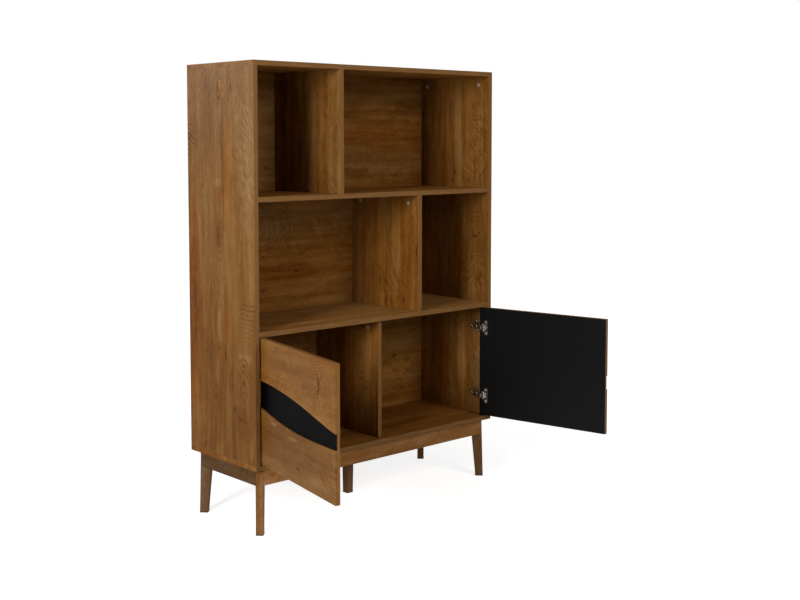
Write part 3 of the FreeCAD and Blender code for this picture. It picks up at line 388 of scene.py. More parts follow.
def arc_group():
    """A stack of arcs on a sheet. The ring field becomes (u - along) / spacing plus bow times the square of
    (v - across) / half width, so that each ring line is a parabola, inside an oval with a drifting rim."""
    group, s, source, target = new_group("Oak arcs", ARC_INPUTS, ["Field", "Shown"])
    sheet = source["Sheet"]
    p, q = oval_place(s, source)
    drift = s.swing(sheet, "arc drift")
    distance = s.sum("ADD", s.vector("LENGTH", s.joined(p, q, 0.0)), drift)
    inside = s.sum("LESS_THAN", distance, ARC_END)
    shown = s.span(distance, *ARC_FADE, 1.0, 0.0)
    beyond = s.sum("SUBTRACT", s.parts(sheet)[0], source["Along"])
    bent = s.sum("MULTIPLY", s.sum("MULTIPLY", q, q), source["Bow"])
    rows = s.sum("ADD", s.sum("DIVIDE", beyond, source["Spacing"]), bent)
    rows = s.sum("MULTIPLY_ADD", drift, ARC_DRIFT, rows)
    s.feed(target["Field"], s.blend(inside, source["Field"], rows))
    s.feed(target["Shown"], s.sum("MAXIMUM", s.sum("MULTIPLY", shown, ARC_SHOWN), source["Shown"]))
    return group


def patch_group():
    """One soft patch on a sheet, an oval with a drifting rim. It makes the print lighter or warmer, or adds
    slanting strokes. A few patches are painted light or shade, marked where they are listed."""
    group, s, source, target = new_group("Oak patch", PATCH_INPUTS, ["Light", "Warm", "Strokes"])
    p, q = oval_place(s, source)
    drift = s.swing(source["Sheet"], "patch drift")
    distance = s.sum("ADD", s.vector("LENGTH", s.joined(p, q, 0.0)), drift)
    weight = s.span(distance, *PATCH_FADE, 1.0, 0.0)
    for label, more in (("Light", "Lighter"), ("Warm", "Warmer"), ("Strokes", "Stroked")):
        s.feed(target[label], s.sum("MULTIPLY_ADD", weight, source[more], source[label]))
    return group


def oak_print_group(settings):
    """The oak print on a sheet of u along the grain, v across it and w through the board. Noises of different
    stretch make the bands, figure, streaks, clouds, flecks and slanting strokes, which all make it lighter or
    darker. Ring lines lie where the field passes whole numbers. Ripples, pores, fibres and the hearts of the
    knots come last."""
    group, s, source, target = new_group("Oak print", PRINT_INPUTS, ["Colour", "Height", "Shine"])
    sheet = source["Sheet"]
    u, _, w = s.parts(sheet)
    band = s.noise(sheet, "band")
    streak = s.noise(sheet, "streak")
    cloud = s.noise(sheet, "cloud")
    fleck = s.noise(sheet, "fleck")
    fibre = s.noise(sheet, "fibre")
    pore = s.span(s.noise(sheet, "pore"), 0.60, 0.72)
    pushed = s.vector("ADD", sheet, s.joined(0.0, s.sum("MULTIPLY", cloud, FIGURE_PUSH), 0.0))
    figure = s.noise(pushed, "figure")
    # Slanting strokes, which lean to one side of the grain here and to the other there
    leaning = []
    for sine in (SLANT_SINE, -SLANT_SINE):
        slant_u = s.vector("DOT_PRODUCT", sheet, (SLANT_COSINE, sine, 0.0))
        slant_v = s.vector("DOT_PRODUCT", sheet, (-sine, SLANT_COSINE, 0.0))
        leaning.append(s.noise(s.joined(slant_u, slant_v, w), "stroke"))
    stroke = s.blend(s.span(s.noise(sheet, "stroke side"), 0.45, 0.55), *leaning)
    stroke_share = s.span(s.noise(sheet, "stroke patch"), 0.48, 0.66, 0.05, 0.6)
    stroke_share = s.sum("ADD", stroke_share, source["Strokes"], clamp=True)
    # How light the print is, about 1
    light = s.sum("ADD", s.centred(band, BAND), s.centred(figure, FIGURE))
    light = s.sum("ADD", light, s.centred(streak, STREAK))
    light = s.sum("MULTIPLY_ADD", light, source["Figure"], source["Light"])
    light = s.sum("ADD", light, s.centred(cloud, CLOUD))
    light = s.sum("ADD", light, s.centred(fleck, FLECK))
    light = s.sum("ADD", light, s.sum("MULTIPLY", s.centred(stroke, STROKE), stroke_share))
    light = s.sum("MAXIMUM", s.sum("ADD", light, 1.0), DARKEST)
    # Its colour, ruddy where the hue is above 0 and olive where it is below
    hue = s.sum("ADD", source["Warm"], s.centred(s.noise(sheet, "warm band"), HUE_SWING))
    colour = s.mix(s.sum("ADD", hue, 0.0, clamp=True), settings.body, settings.ruddy)
    colour = s.mix(s.sum("MULTIPLY", hue, -1.0, clamp=True), colour, settings.olive)
    levels = s.joined(light, s.sum("POWER", light, GREEN_POWER), s.sum("POWER", light, BLUE_POWER))
    colour = s.vector("MULTIPLY", colour, levels)
    # Ring lines, each with a strength of its own and a pale run before it
    count = s.sum("ADD", source["Field"], s.centred(s.noise(sheet, "ring drift"), RING_DRIFT))
    phase = s.sum("FRACT", count)
    own = s.node("ShaderNodeTexWhiteNoise", noise_dimensions="1D")
    s.feed(own.inputs["W"], s.sum("FLOOR", count))
    strength = s.span(s.noise(sheet, "ring strength"), 0.34, 0.62, 0.55, 1.0)
    strength = s.sum("MULTIPLY", strength, s.span(own.outputs["Value"], 0.0, 1.0, 0.4, 1.0))
    open_patch = s.sum("MULTIPLY", s.span(s.noise(sheet, "ring patch"), 0.44, 0.66), OPEN_SHOWN)
    ring_share = s.sum("MULTIPLY", s.sum("MAXIMUM", open_patch, source["Shown"]),
                       s.sum("MULTIPLY", source["Rings"], strength))
    between = s.sum("MULTIPLY", s.span(phase, 0.0, 0.25), s.span(phase, 0.25, 0.6, 0.4, 0.0))
    colour = s.mix(s.sum("MULTIPLY", between, ring_share), colour, settings.pale)
    ring = s.sum("MULTIPLY", s.span(phase, 0.15, 0.85), s.span(phase, 0.85, 1.0, 1.0, 0.0))
    colour = s.mix(s.sum("MULTIPLY", ring, ring_share), colour, settings.dark)
    # Ripples, pores, fibres and the knots' hearts
    sway = s.sum("MULTIPLY", s.noise(sheet, "ripple sway"), RIPPLE_SWAY)
    ripple = s.sum("SINE", s.sum("ADD", s.sum("MULTIPLY", u, 2.0 * math.pi / RIPPLE), sway))
    ripple_share = s.span(s.noise(sheet, "ripple patch"), 0.42, 0.66, 0.03, 0.14)
    colour = s.mix(s.sum("MULTIPLY", s.span(ripple, -0.2, 1.0), ripple_share), colour, settings.dark)
    colour = s.mix(s.sum("MULTIPLY", pore, PORE_SHARE), colour, settings.dark)
    colour = s.mix(s.span(fibre, 0.35, 0.65, FIBRE_SHARE, 0.0), colour, settings.dark)
    s.feed(target["Colour"], s.mix(source["Dark"], colour, settings.knot))
    s.feed(target["Height"], s.sum("SUBTRACT", s.sum("MULTIPLY", fibre, 0.25), s.sum("MULTIPLY", pore, 0.6)))
    s.feed(target["Shine"], s.sum("ADD", s.sum("MULTIPLY", streak, 0.10), s.sum("MULTIPLY", pore, 0.12)))
    return group


def shared_groups(settings):
    """The four node groups that every oak material uses, made once."""
    kept = bpy.data.node_groups
    if "Oak print" not in kept:
        oak_print_group(settings)
        knot_group()
        arc_group()
        patch_group()
    return kept["Oak print"], kept["Oak knot"], kept["Oak arcs"], kept["Oak patch"]


def scaled(colour, factor):
    """A colour times a factor: darker below 1 and lighter above it."""
    return [channel * factor for channel in colour]


# How a sheet's u and v lie on the object's axes: u along the grain, v across it, w through the board
SHEETS = {"upright": (2, 1, 0), "level": (0, 1, 2), "back": (0, 2, 1), "deep": (1, 2, 0)}


def oak_material(name, settings, lie="upright", turn=0.0, slide=(0.0, 0.0, 0.0), knots=(), arcs=(),
                 patches=(), shade=(0.0, 0.0), rings=1.0, figure=1.0, stain_and_painted_light=None, edge_axis=None):
    """A board's print, laid on the object's own axes. Slide picks another part of the print, and shade makes
    it all
    lighter and warmer: the board's own colour, but painted light on the lower shelf. A given colour factor
    multiplies
    the colour: staining, and also painted shade on the short aprons and painted light on the rear right leg.
    On the faces that look along edge_axis an edge strip covers it."""
    print_group, knot, arc, patch = shared_groups(settings)
    material, s, shader = new_material(name)
    place = s.node("ShaderNodeTexCoord").outputs["Object"]
    if turn:
        place = s.turned(place, turn)
    axes = s.parts(place)
    order = SHEETS[lie]
    sheet = s.joined(axes[order[0]], axes[order[1]], axes[order[2]])
    shifted = s.vector("ADD", sheet, slide)
    sway = s.sum("MULTIPLY", s.swing(shifted, "ring sway"), RING_SWAY)
    field = s.sum("ADD", s.sum("DIVIDE", s.parts(sheet)[1], settings.ring_spacing), sway)
    dark = None
    shown = None
    for along, across, half_length, half_width, spacing, reach, heart, *lean in knots:
        cracked = float(half_width > BIG_KNOT)
        wobble = BIG_WOBBLE if cracked else WOBBLE
        values = (sheet, along, across, half_length, half_width, half_width / spacing, reach, heart,
                  lean[0] if lean else 1.0, wobble, cracked, field, dark, shown)
        field, dark, shown = s.use(knot, KNOT_INPUTS, values)
    for row in arcs:
        field, shown = s.use(arc, ARC_INPUTS, (sheet, *row, field, shown))
    light, warm = shade
    strokes = None
    for row in patches:
        light, warm, strokes = s.use(patch, PATCH_INPUTS, (sheet, *row, light, warm, strokes))
    values = (shifted, field, dark, shown, light, warm, strokes, rings, figure)
    colour, height, shine = s.use(print_group, PRINT_INPUTS, values)
    if stain_and_painted_light is not None:
        colour = s.vector("MULTIPLY", colour, stain_and_painted_light)
    if edge_axis is not None:
        normal = s.parts(s.node("ShaderNodeTexCoord").outputs["Normal"])[edge_axis]
        facing = s.span(s.sum("ABSOLUTE", normal), *FACING)
        grain = s.span(s.noise(shifted, "edge strip"), 0.35, 0.7)
        colour = s.mix(facing, colour, s.mix(grain, scaled(settings.edge, 0.72), settings.edge))
    s.feed(shader.inputs["Base Color"], colour)
    s.feed(shader.inputs["Roughness"], s.sum("ADD", shine, settings.roughness - SHINE_MIDDLE))
    shader.inputs["Specular IOR Level"].default_value = OAK_GLOSS
    s.relief(shader, height, *OAK_RELIEF)
    return material


def coat(node, material):
    """Gives a piece of the frame its material."""
    mesh = NODES[node].data
    if not mesh.materials:
        mesh.materials.append(material)
    for index in range(len(mesh.materials)):
        mesh.materials[index] = material


def lay_prints(settings, prints):
    """Gives each board of a table its own part of the print."""
    for node, look in prints.items():
        coat(node, oak_material("Oak print on " + node, settings, **look))


# Knots: place along the grain, place across it, half length, half width, ring spacing, reach, heart, and
# for an egg-shaped one how many times shorter its lower half is.
# Arcs: place along the grain, place across it, half length, half width, spacing, bow.
# Patches: place along the grain, place across it, half length, half width, lighter, warmer, strokes.
# A few shades and patches below are painted light or shade, marked where they stand.
BOARD_PRINTS = {
    "left_side_panel": dict(lie="upright", slide=(0.0, 0.0, 0.0), edge_axis=1, shade=(0.0, -0.70), knots=[
        (0.335, -0.118, 0.205, 0.056, 0.0075, 1.25, 0.0, 4.1),
        (0.341, -0.106, 0.026, 0.044, 0.0120, 1.05, 1.0),
        (0.882, 0.009, 0.040, 0.013, 0.007, 2.2, 0.9),
        (1.187, 0.160, 0.018, 0.022, 0.008, 3.0, 0.7),
        (0.525, -0.022, 0.030, 0.008, 0.007, 2.0, 1.0),
        (0.549, 0.009, 0.012, 0.008, 0.007, 2.0, 0.9),
        (0.528, 0.081, 0.020, 0.006, 0.007, 2.0, 0.9),
        (0.396, 0.035, 0.012, 0.009, 0.007, 2.0, 0.8),
        (0.368, -0.067, 0.018, 0.007, 0.007, 2.0, 0.9),
        (1.359, -0.008, 0.008, 0.008, 0.006, 2.2, 0.8),
        (1.328, 0.008, 0.026, 0.014, 0.006, 2.2, 0.7),
        (1.330, -0.058, 0.026, 0.012, 0.006, 2.2, 0.7),
        (1.297, -0.046, 0.010, 0.014, 0.006, 2.2, 0.7),
        (1.300, 0.004, 0.010, 0.014, 0.006, 2.2, 0.7),
    ], arcs=[
        (0.640, -0.140, 0.085, 0.055, 0.0135, 0.7),
        (1.090, 0.190, 0.120, 0.070, 0.0150, 1.4),
    ], patches=[
        (0.360, 0.000, 0.420, 0.350, -0.12, 0.1, 0.0),
        (0.640, 0.175, 0.620, 0.040, -0.14, 0.7, 0.0),
        (0.900, -0.155, 0.340, 0.036, 0.10, -0.2, 0.3),
        (1.090, -0.036, 0.190, 0.028, -0.02, 1.5, 0.0),
        (0.930, -0.022, 0.160, 0.006, 0.20, 0.6, 0.0),
        (1.150, -0.132, 0.260, 0.060, 0.14, -0.7, 1.0),
        (1.047, 0.007, 0.014, 0.018, 0.22, -0.6, 0.0),
        (1.000, 0.009, 0.032, 0.022, -0.06, 1.3, 0.0),
        (1.230, 0.070, 0.180, 0.070, -0.06, -0.5, 0.0),
        (1.320, -0.030, 0.050, 0.042, -0.06, 1.3, 0.6),
        (1.350, -0.006, 0.034, 0.010, 0.25, 0.0, 0.0),
        (1.310, -0.016, 0.040, 0.008, 0.20, 0.2, 0.0),
        (0.650, 0.135, 0.460, 0.045, -0.04, 1.0, 0.0),
        (0.470, 0.022, 0.064, 0.013, 0.30, -0.8, 0.1),
        (0.620, 0.012, 0.060, 0.012, 0.22, -0.4, 0.1),
        (0.560, -0.022, 0.150, 0.006, -0.22, 0.6, 0.0),
        (0.380, -0.018, 0.110, 0.006, -0.18, 0.6, 0.0),
        (0.620, -0.034, 0.060, 0.020, -0.02, 1.3, 0.0),
        (0.528, -0.016, 0.045, 0.024, -0.08, 1.2, 0.0),
        (0.250, -0.150, 0.030, 0.020, 0.22, 0.4, 0.6),
        (0.341, -0.106, 0.050, 0.044, -0.10, -0.1, 0.0),
        (0.531, -0.135, 0.016, 0.045, 0.18, -0.4, 0.0),
        (0.890, 0.010, 0.045, 0.022, -0.06, 0.9, 0.0),
    ]),
    "right_side_panel": dict(lie="upright", slide=(0.63, 0.011, 0.2), edge_axis=1, shade=(-0.06, -0.30),
                             rings=0.6, knots=[
        (0.845, -0.114, 0.050, 0.036, 0.0105, 2.1, 1.0),
        (1.055, -0.012, 0.024, 0.012, 0.007, 2.2, 0.7),
        (1.030, -0.004, 0.014, 0.008, 0.007, 2.2, 0.7),
    ], arcs=[
        (1.200, -0.125, 0.110, 0.052, 0.0150, 1.2),
    ], patches=[
        (1.200, -0.130, 0.170, 0.050, 0.04, 0.2, 0.9),
        (1.200, -0.066, 0.220, 0.014, 0.02, 1.2, 0.0),
        (1.190, -0.025, 0.250, 0.022, 0.20, -0.4, 0.1),
        # Painted light: these two patches lighten the wall where the side light falls in the bottom bay; the
        # second also adds strokes
        (0.400, -0.052, 0.200, 0.026, 0.38, 0.4, 0.0),
        (0.400, -0.120, 0.200, 0.022, 0.26, -0.5, 0.8),
        # Painted shade: darker on the band of side light on the wall in the middle bay
        (0.800, -0.120, 0.190, 0.040, -0.12, 0.0, 0.2),
        (0.400, 0.040, 0.200, 0.050, -0.10, 1.0, 0.0),
        (0.700, -0.110, 0.080, 0.050, 0.08, 0.2, 0.9),
        (1.080, -0.100, 0.060, 0.050, 0.06, 0.0, 0.9),
    ]),
    "upper_divider": dict(lie="upright", slide=(2.31, 0.023, 0.4), edge_axis=1, shade=(-0.02, -0.80), knots=[
        (1.310, -0.110, 0.034, 0.010, 0.008, 2.4, 0.5),
    ], patches=[
        (1.200, -0.150, 0.220, 0.018, -0.10, 0.0, 0.3),
        (1.200, -0.110, 0.200, 0.014, 0.04, 0.0, 0.2),
        # Painted shade: darker towards the back of the divider, where the top left bay lies in shadow
        (1.200, 0.080, 0.300, 0.090, -0.34, 0.6, 0.0),
    ]),
    "middle_divider": dict(lie="upright", slide=(3.17, -0.017, 0.6), edge_axis=1, knots=[
        (0.641, -0.103, 0.018, 0.010, 0.007, 2.4, 0.8),
        (0.633, -0.016, 0.020, 0.010, 0.007, 2.4, 0.7),
        (0.809, -0.163, 0.026, 0.012, 0.008, 2.0, 0.9),
        (0.698, 0.012, 0.024, 0.012, 0.007, 2.4, 0.6),
    ], patches=[
        (0.800, -0.060, 0.240, 0.030, 0.20, -0.4, 0.1),
        (0.800, -0.120, 0.240, 0.024, 0.02, 0.8, 0.3),
        (0.800, 0.030, 0.240, 0.040, -0.08, 0.3, 0.0),
        (0.680, -0.060, 0.080, 0.070, 0.00, 0.3, 0.8),
    ]),
    "lower_divider": dict(lie="upright", slide=(4.41, 0.031, 0.8), edge_axis=1, shade=(-0.13, 0.20), knots=[
        (0.486, -0.068, 0.045, 0.020, 0.0095, 2.6, 0.3),
        (0.376, -0.098, 0.018, 0.010, 0.007, 2.4, 0.8),
    ], patches=[
        (0.400, -0.110, 0.200, 0.016, 0.14, 0.2, 0.1),
    ]),
    "top_panel": dict(lie="level", slide=(5.13, 0.07, 1.0), edge_axis=1, knots=[
        (-0.180, 0.060, 0.080, 0.040, 0.0115, 2.6, 0.8),
        (0.290, -0.050, 0.034, 0.014, 0.008, 2.6, 0.8),
    ], arcs=[
        (0.060, 0.060, 0.200, 0.060, 0.0135, 1.5),
    ], patches=[
        (0.000, -0.060, 0.420, 0.040, 0.10, -0.6, 0.5),
        (-0.200, 0.120, 0.300, 0.040, -0.10, 0.9, 0.0),
    ]),
    "upper_shelf": dict(lie="level", slide=(6.71, 0.02, 1.2), edge_axis=1, knots=[
        (0.120, 0.030, 0.050, 0.022, 0.009, 2.6, 0.5),
    ], patches=[(0.100, -0.100, 0.500, 0.030, 0.10, 0.2, 0.2)]),
    # The lower shelf's shade lightens its whole print: painted light for the side light on its top
    "lower_shelf": dict(lie="level", slide=(7.37, -0.04, 1.4), edge_axis=1, shade=(0.28, -0.1), knots=[
        (-0.210, 0.020, 0.050, 0.022, 0.009, 2.6, 0.4),
    ], patches=[(-0.200, -0.110, 0.400, 0.030, 0.12, 0.2, 0.2)]),
    "bottom_panel": dict(lie="level", slide=(8.83, 0.05, 1.6), edge_axis=1, shade=(-0.09, 0.5), knots=[
        (0.270, 0.040, 0.060, 0.024, 0.009, 2.6, 0.4),
    ], patches=[
        (0.200, -0.040, 0.160, 0.030, -0.16, 0.3, 0.0),
        (0.350, -0.090, 0.200, 0.020, 0.16, 0.4, 0.1),
    ]),
}
BACK_PRINTS = {
    "back_panel_upper": dict(lie="back", slide=(9.29, 0.03, 1.8), knots=[
        (0.433, 1.287, 0.034, 0.016, 0.008, 2.6, 0.5),
        (-0.215, 1.080, 0.020, 0.009, 0.006, 2.2, 0.8),
        (-0.430, 1.100, 0.016, 0.010, 0.006, 2.2, 0.9),
    ], patches=[
        # Painted light: lighter on the back of the top left bay, next to the upper divider
        (-0.215, 1.200, 0.070, 0.300, 0.28, 0.0, 0.0),
        (0.340, 1.055, 0.160, 0.040, 0.16, 0.0, 1.0),
        (0.080, 1.110, 0.240, 0.040, 0.06, -0.2, 0.2),
        (0.433, 1.232, 0.050, 0.026, 0.00, 0.2, 1.0),
        (0.200, 1.190, 0.260, 0.024, -0.14, 1.0, 0.0),
        (0.120, 1.290, 0.300, 0.016, 0.16, 0.2, 0.0),
        (0.320, 1.340, 0.240, 0.012, -0.12, 0.4, 0.0),
    ]),
    "back_panel_middle": dict(lie="back", slide=(10.61, 0.0, 2.0), shade=(0.05, 0.0), rings=0.65, knots=[
        (-0.265, 0.886, 0.150, 0.105, 0.0150, 1.3, 0.0),
        (-0.071, 0.795, 0.020, 0.011, 0.007, 2.4, 0.7),
        (-0.224, 0.790, 0.018, 0.008, 0.006, 2.0, 0.8),
        (-0.095, 0.739, 0.030, 0.008, 0.006, 2.2, 0.9),
        (-0.231, 0.680, 0.020, 0.008, 0.006, 2.0, 0.9),
        (0.137, 0.686, 0.028, 0.012, 0.007, 2.2, 0.5),
    ], patches=[
        (-0.265, 0.886, 0.150, 0.090, 0.06, -0.3, 0.0),
        (0.000, 0.882, 0.060, 0.045, 0.04, 0.4, 0.9),
        (0.088, 0.878, 0.060, 0.045, 0.10, 0.2, 0.9),
        (0.052, 0.631, 0.120, 0.018, 0.16, 0.4, 0.1),
        (-0.150, 0.730, 0.200, 0.030, -0.12, 1.0, 0.0),
        (-0.150, 0.670, 0.240, 0.014, 0.14, 0.2, 0.0),
    ]),
    "back_panel_lower": dict(lie="back", slide=(11.93, 0.0, 2.2), knots=[
        (0.345, 0.395, 0.022, 0.010, 0.007, 2.4, 0.8),
        (0.423, 0.382, 0.022, 0.008, 0.007, 2.2, 0.8),
        (0.315, 0.370, 0.022, 0.007, 0.006, 2.2, 0.8),
    ], patches=[
        (0.380, 0.340, 0.100, 0.040, 0.04, 0.6, 0.9),
        (0.370, 0.450, 0.120, 0.040, 0.08, -0.4, 0.0),
    ]),
}


class BOOKCASE_OT_boards(bpy.types.Operator):
    """Lay the oak print on the boards of the carcass"""

    bl_idname = "bookcase.boards"
    bl_label = "Boards"

    def execute(self, context):
        lay_prints(context.scene.bookcase_oak, BOARD_PRINTS)
        return {"FINISHED"}


class BOOKCASE_OT_back_panels(bpy.types.Operator):
    """Lay the oak print on the three back panels"""

    bl_idname = "bookcase.back_panels"
    bl_label = "Back panels"

    def execute(self, context):
        lay_prints(context.scene.bookcase_oak, BACK_PRINTS)
        return {"FINISHED"}


class BOOKCASE_OT_base(bpy.types.Operator):
    """Stain the base frame and the legs, with painted shade on the short aprons and painted light on the rear
    right leg, and colour the glides
    """

    bl_idname = "bookcase.base"
    bl_label = "Base and legs"

    def execute(self, context):
        settings = context.scene.bookcase_oak
        long = oak_material("Oak on the long aprons", settings, lie="back", slide=(13.0, 0.4, 3.0), rings=0.4,
                            stain_and_painted_light=LONG_APRON_TINT)
        short = oak_material("Oak on the short aprons", settings, lie="deep", slide=(14.0, 0.6, 3.2),
                             rings=0.4, stain_and_painted_light=SHORT_APRON_STAIN_AND_PAINTED_SHADE)
        for node in ("front_apron", "rear_apron"):
            coat(node, long)
        for node in ("left_apron", "right_apron"):
            coat(node, short)
        for index, (node, lightness_and_painted_light) in enumerate(LEG_TONES_AND_PAINTED_LIGHT.items()):
            name = "Stained oak on " + node
            slide = (15.0 + index, 0.8, 3.4)
            stain_and_painted_light = scaled(LEG_STAIN, lightness_and_painted_light)
            coat(node, oak_material(name, settings, lie="upright", slide=slide, rings=0.35, stain_and_painted_light=stain_and_painted_light))
        coat("leg_glides", plastic_material("Glide plastic", context.scene.bookcase_fittings.glide))
        return {"FINISHED"}


def plastic_material(name, colour):
    """Moulded plastic with a fine grain."""
    material, s, shader = new_material(name)
    place = s.node("ShaderNodeTexCoord").outputs["Object"]
    grain = s.noise(place, "plastic grain")
    tint = s.mix(s.span(grain, 0.35, 0.65), scaled(colour, 0.8), scaled(colour, 1.25))
    s.feed(shader.inputs["Base Color"], tint)
    s.feed(shader.inputs["Roughness"], s.span(grain, 0.3, 0.7, 0.5, 0.62))
    return material


def black_material(name, settings, strip, turn, gloss):
    """Matt black foil with a faint wood emboss along the door's height on the broad faces, and a strip of
    oak print on the narrow ones."""
    material, s, shader = new_material(name)
    place = s.turned(s.node("ShaderNodeTexCoord").outputs["Object"], turn)
    grain = s.noise(place, "black emboss")
    tint = s.mix(s.span(grain, 0.3, 0.7), scaled(settings.black, 0.72), scaled(settings.black, 1.3))
    outward = (math.sin(turn), math.cos(turn), 0.0)
    normal = s.node("ShaderNodeTexCoord").outputs["Normal"]
    broad = s.span(s.sum("ABSOLUTE", s.vector("DOT_PRODUCT", normal, outward)), *FACING)
    strand = s.span(s.noise(place, "door strip"), 0.3, 0.7)
    edge = s.mix(strand, scaled(strip, 0.70), scaled(strip, 1.1))
    s.feed(shader.inputs["Base Color"], s.mix(broad, edge, tint))
    cloud = s.span(s.noise(place, "black cloud"), 0.3, 0.7, -0.03, 0.04)
    emboss = s.span(grain, 0.3, 0.7, settings.roughness, settings.roughness + 0.08)
    s.feed(shader.inputs["Roughness"], s.sum("ADD", cloud, emboss))
    shader.inputs["Specular IOR Level"].default_value = gloss
    s.relief(shader, grain, *BLACK_RELIEF)
    return material


class BOOKCASE_OT_doors(bpy.types.Operator):
    """Finish the doors: oak-print fronts on black boards"""

    bl_idname = "bookcase.doors"
    bl_label = "Doors"

    def execute(self, context):
        oak = context.scene.bookcase_oak
        black = context.scene.bookcase_black
        for side, turn in (("left", DOOR_OPEN_ANGLE), ("right", -DOOR_OPEN_ANGLE)):
            look = door_print(side, turn)
            for part in ("upper", "lower"):
                name = "Oak print on %s %s front" % (side, part)
                coat("%s_door_%s_front" % (side, part), oak_material(name, oak, **look))
            name = "Black foil on %s door" % side
            coat("%s_door_core" % side, black_material(name, black, oak.edge, turn, DOOR_GLOSS[side]))
        return {"FINISHED"}


def door_print(side, turn):
    """The print on a door, with its grain across the width. Its features are placed from the hinge edge, on
    the sheet that the Mapping node turns back to the closed door."""
    outward = 1.0 if side == "left" else -1.0
    hinge_edge = -outward * DOOR_HINGE_EDGE
    pivot = Vector((-outward * PIVOT_X, PIVOT_Y, 0.0))
    offset = pivot.x * math.cos(turn) - pivot.y * math.sin(turn) - pivot.x

    def place(from_hinge, rest):
        return (hinge_edge + outward * from_hinge + offset, *rest)

    knots = [
        place(0.386, (0.520, 0.056, 0.056, 0.0088, 1.42, 1.0)),
        place(0.262, (0.266, 0.022, 0.005, 0.007, 2.0, 0.8)),
        place(0.340, (0.533, 0.012, 0.004, 0.007, 1.6, 0.6)),
        place(0.356, (0.531, 0.010, 0.003, 0.007, 1.6, 0.6)),
        place(0.132, (0.336, 0.010, 0.004, 0.007, 1.6, 0.4)),
    ]
    arcs = [
        place(0.118, (0.530, 0.034, 0.090, 0.0130, -0.9 * outward)),
        place(0.214, (0.540, 0.018, 0.070, 0.0130, 0.6 * outward)),
        place(0.284, (0.530, 0.034, 0.080, 0.0110, -0.9 * outward)),
    ]
    patches = [
        place(0.102, (0.357, 0.018, 0.006, 0.45, -0.3, 0.0)),
        place(0.228, (0.340, 0.034, 0.008, 0.35, 0.2, 0.0)),
        place(0.240, (0.310, 0.400, 0.070, -0.24, -0.8, 0.0)),
        place(0.240, (0.240, 0.400, 0.040, -0.02, -0.9, 0.1)),
        place(0.120, (0.480, 0.160, 0.050, 0.02, 0.4, 0.2)),
        place(0.390, (0.523, 0.090, 0.060, 0.02, 0.3, 0.2)),
    ]
    return dict(lie="back", turn=turn, slide=(16.0, 0.2, 4.0), shade=(0.00, -0.35), figure=0.60, knots=knots,
                arcs=arcs, patches=patches)


def metal_material(name, colour, rough, wear, metallic=1.0):
    """Plated or cast metal that is a little cloudy. Wear is how much darker its dull places are."""
    material, s, shader = new_material(name)
    place = s.node("ShaderNodeTexCoord").outputs["Object"]
    cloud = s.noise(place, "metal cloud")
    tint = s.mix(s.span(cloud, 0.3, 0.75), scaled(colour, 1.0 - wear), colour)
    s.feed(shader.inputs["Base Color"], tint)
    shader.inputs["Metallic"].default_value = metallic
    s.feed(shader.inputs["Roughness"], s.span(cloud, 0.3, 0.7, rough, rough + 0.12))
    return material


class BOOKCASE_OT_hinges(bpy.types.Operator):
    """Plate the hinges"""

    bl_idname = "bookcase.hinges"
    bl_label = "Hinges"

    def execute(self, context):
        nickel = metal_material("Nickel plate", context.scene.bookcase_fittings.nickel, rough=0.22, wear=0.25)
        for node in NODES:
            if "hinge" in node:
                coat(node, nickel)
        return {"FINISHED"}


class BOOKCASE_OT_fittings(bpy.types.Operator):
    """Finish the cams, dowels, screws, bolts and steel plates"""

    bl_idname = "bookcase.fittings"
    bl_label = "Fittings"

    def execute(self, context):
        fittings = context.scene.bookcase_fittings
        zinc = metal_material("Zinc plate", fittings.zinc, rough=0.34, wear=0.3)
        cast = scaled(fittings.zinc, 0.9)
        coat("cam_locks", metal_material("Cast zinc", cast, rough=0.5, wear=0.2, metallic=0.4))
        for node in ("cam_bolts", "carcass_screws", "corner_plates", "corner_plate_screws",
                     "leg_bolts", "leg_nuts", "apron_angles", "apron_angle_screws", "centre_leg_plate",
                     "centre_leg_screws"):
            coat(node, zinc)
        beech = oak_material("Beech dowel", context.scene.bookcase_oak, lie="level", slide=(17.0, 0.0, 5.0),
                             rings=0.2)
        coat("wood_dowels", beech)
        return {"FINISHED"}


def look_at(item, target):
    """Turns a lamp so that it faces the target."""
    item.rotation_euler = (Vector(target) - item.location).to_track_quat("-Z", "Y").to_euler()


def area_light(name, power, place, target, wide, high):
    """A flat lamp that faces the target and isn't seen itself."""
    lamp = bpy.data.lights.new(name, "AREA")
    lamp.shape = "RECTANGLE"
    lamp.size = wide
    lamp.size_y = high
    lamp.energy = power
    lamp.color = LAMP_WHITE
    item = bpy.data.objects.new(name, lamp)
    item.location = place
    item.visible_camera = False
    look_at(item, target)
    bpy.context.scene.collection.objects.link(item)
    return item


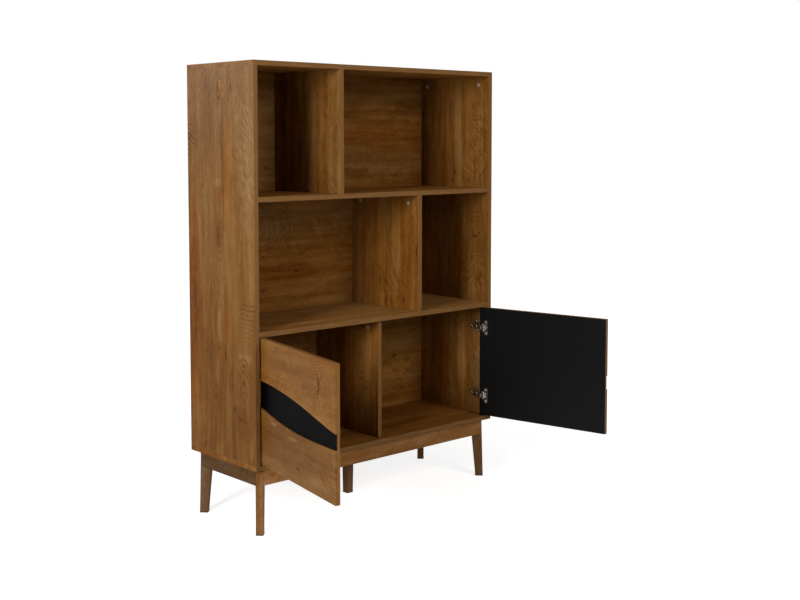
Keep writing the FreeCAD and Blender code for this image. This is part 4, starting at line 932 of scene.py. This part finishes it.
class BOOKCASE_OT_stage(bpy.types.Operator):
    """Make the floor, the light and the camera"""

    bl_idname = "bookcase.stage"
    bl_label = "Stage"

    def execute(self, context):
        settings = context.scene.bookcase_stage
        scene = context.scene
        floor_mesh = bpy.data.meshes.new("floor")
        corners = [(x * FLOOR_REACH, y * FLOOR_REACH, 0.0) for x, y in ((-1, -1), (1, -1), (1, 1), (-1, 1))]
        floor_mesh.from_pydata(corners, [], [(0, 1, 2, 3)])
        floor = bpy.data.objects.new("floor", floor_mesh)
        scene.collection.objects.link(floor)
        floor_mesh.materials.append(floor_material(settings.floor))
        world = bpy.data.worlds.new("Room")
        world.use_nodes = True
        scene.world = world
        s = Sketch(world.node_tree)
        background = world.node_tree.nodes["Background"]
        background.inputs["Color"].default_value = (1.0, 1.0, 1.0, 1.0)
        s.feed(background.inputs["Strength"], s.blend(s.seen(), settings.ambient, 1.0))
        side_place = (-SIDE_LAMP_AWAY * math.sin(SIDE_LAMP_TURN), -SIDE_LAMP_AWAY * math.cos(SIDE_LAMP_TURN),
                      SIDE_LAMP_HEIGHT)
        area_light("Side light", settings.key_power, side_place, target=(0.0, 0.0, 0.75), wide=0.8, high=1.6)
        area_light("Front light", settings.fill_power, place=(0.2, -4.5, 2.7), target=(0.0, 0.0, 0.6),
                   wide=2.2, high=1.8)
        gloss = area_light("Gloss light", settings.gloss_power, place=(-2.1, 2.5, 2.6),
                           target=(-0.5, 0.0, 1.2), wide=1.4, high=1.4)
        gloss.visible_diffuse = False
        camera = bpy.data.cameras.new("Camera")
        camera.lens = settings.lens
        camera.sensor_width = SENSOR_WIDTH
        camera.shift_y = CAMERA_SHIFT
        item = bpy.data.objects.new("Camera", camera)
        item.location = CAMERA_PLACE
        item.rotation_euler = (0.5 * math.pi - CAMERA_DOWN, 0.0, CAMERA_TURN)
        scene.collection.objects.link(item)
        scene.camera = item
        scene.view_settings.view_transform = "Standard"
        return {"FINISHED"}


def floor_material(colour):
    """A plain pale floor that shows white to the camera where no shadow falls."""
    material, s, shader = new_material("Floor")
    shader.inputs["Base Color"].default_value = (*colour, 1.0)
    shader.inputs["Roughness"].default_value = 0.9
    shader.inputs["Specular IOR Level"].default_value = 0.0
    place = s.node("ShaderNodeTexCoord").outputs["Object"]
    glow = s.span(s.vector("LENGTH", place), GLOW_NEAR, GLOW_FAR, GLOW_LEAST, 1.0)
    shader.inputs["Emission Color"].default_value = (1.0, 1.0, 1.0, 1.0)
    s.feed(shader.inputs["Emission Strength"], s.sum("MULTIPLY", s.seen(), glow))
    return material


class BOOKCASE_PT_panel(bpy.types.Panel):
    """Lists the bookcase's settings and steps"""

    bl_label = "Bookcase"
    bl_idname = "BOOKCASE_PT_panel"
    bl_space_type = "VIEW_3D"
    bl_region_type = "UI"
    bl_category = "Bookcase"

    def draw(self, context):
        layout = self.layout
        for operator in OPERATORS:
            layout.operator(operator.bl_idname)
        for name, group in GROUPS.items():
            box = layout.box()
            box.label(text=group.__doc__.rstrip("."))
            for field in group.__annotations__:
                box.prop(getattr(context.scene, name), field)


OPERATORS = [
    BOOKCASE_OT_boards, BOOKCASE_OT_back_panels, BOOKCASE_OT_base, BOOKCASE_OT_doors, BOOKCASE_OT_hinges,
    BOOKCASE_OT_fittings, BOOKCASE_OT_stage,
]
CLASSES = [*GROUPS.values(), *OPERATORS, BOOKCASE_PT_panel]


def register():
    for kind in CLASSES:
        bpy.utils.register_class(kind)
    for name, group in GROUPS.items():
        setattr(bpy.types.Scene, name, PointerProperty(type=group))


def unregister():
    for name in GROUPS:
        delattr(bpy.types.Scene, name)
    for kind in reversed(CLASSES):
        bpy.utils.unregister_class(kind)


def main():
    register()
    bpy.ops.bookcase.boards()
    bpy.ops.bookcase.back_panels()
    bpy.ops.bookcase.base()
    bpy.ops.bookcase.doors()
    bpy.ops.bookcase.hinges()
    bpy.ops.bookcase.fittings()
    bpy.ops.bookcase.stage()


if __name__ == "__main__":
    main()
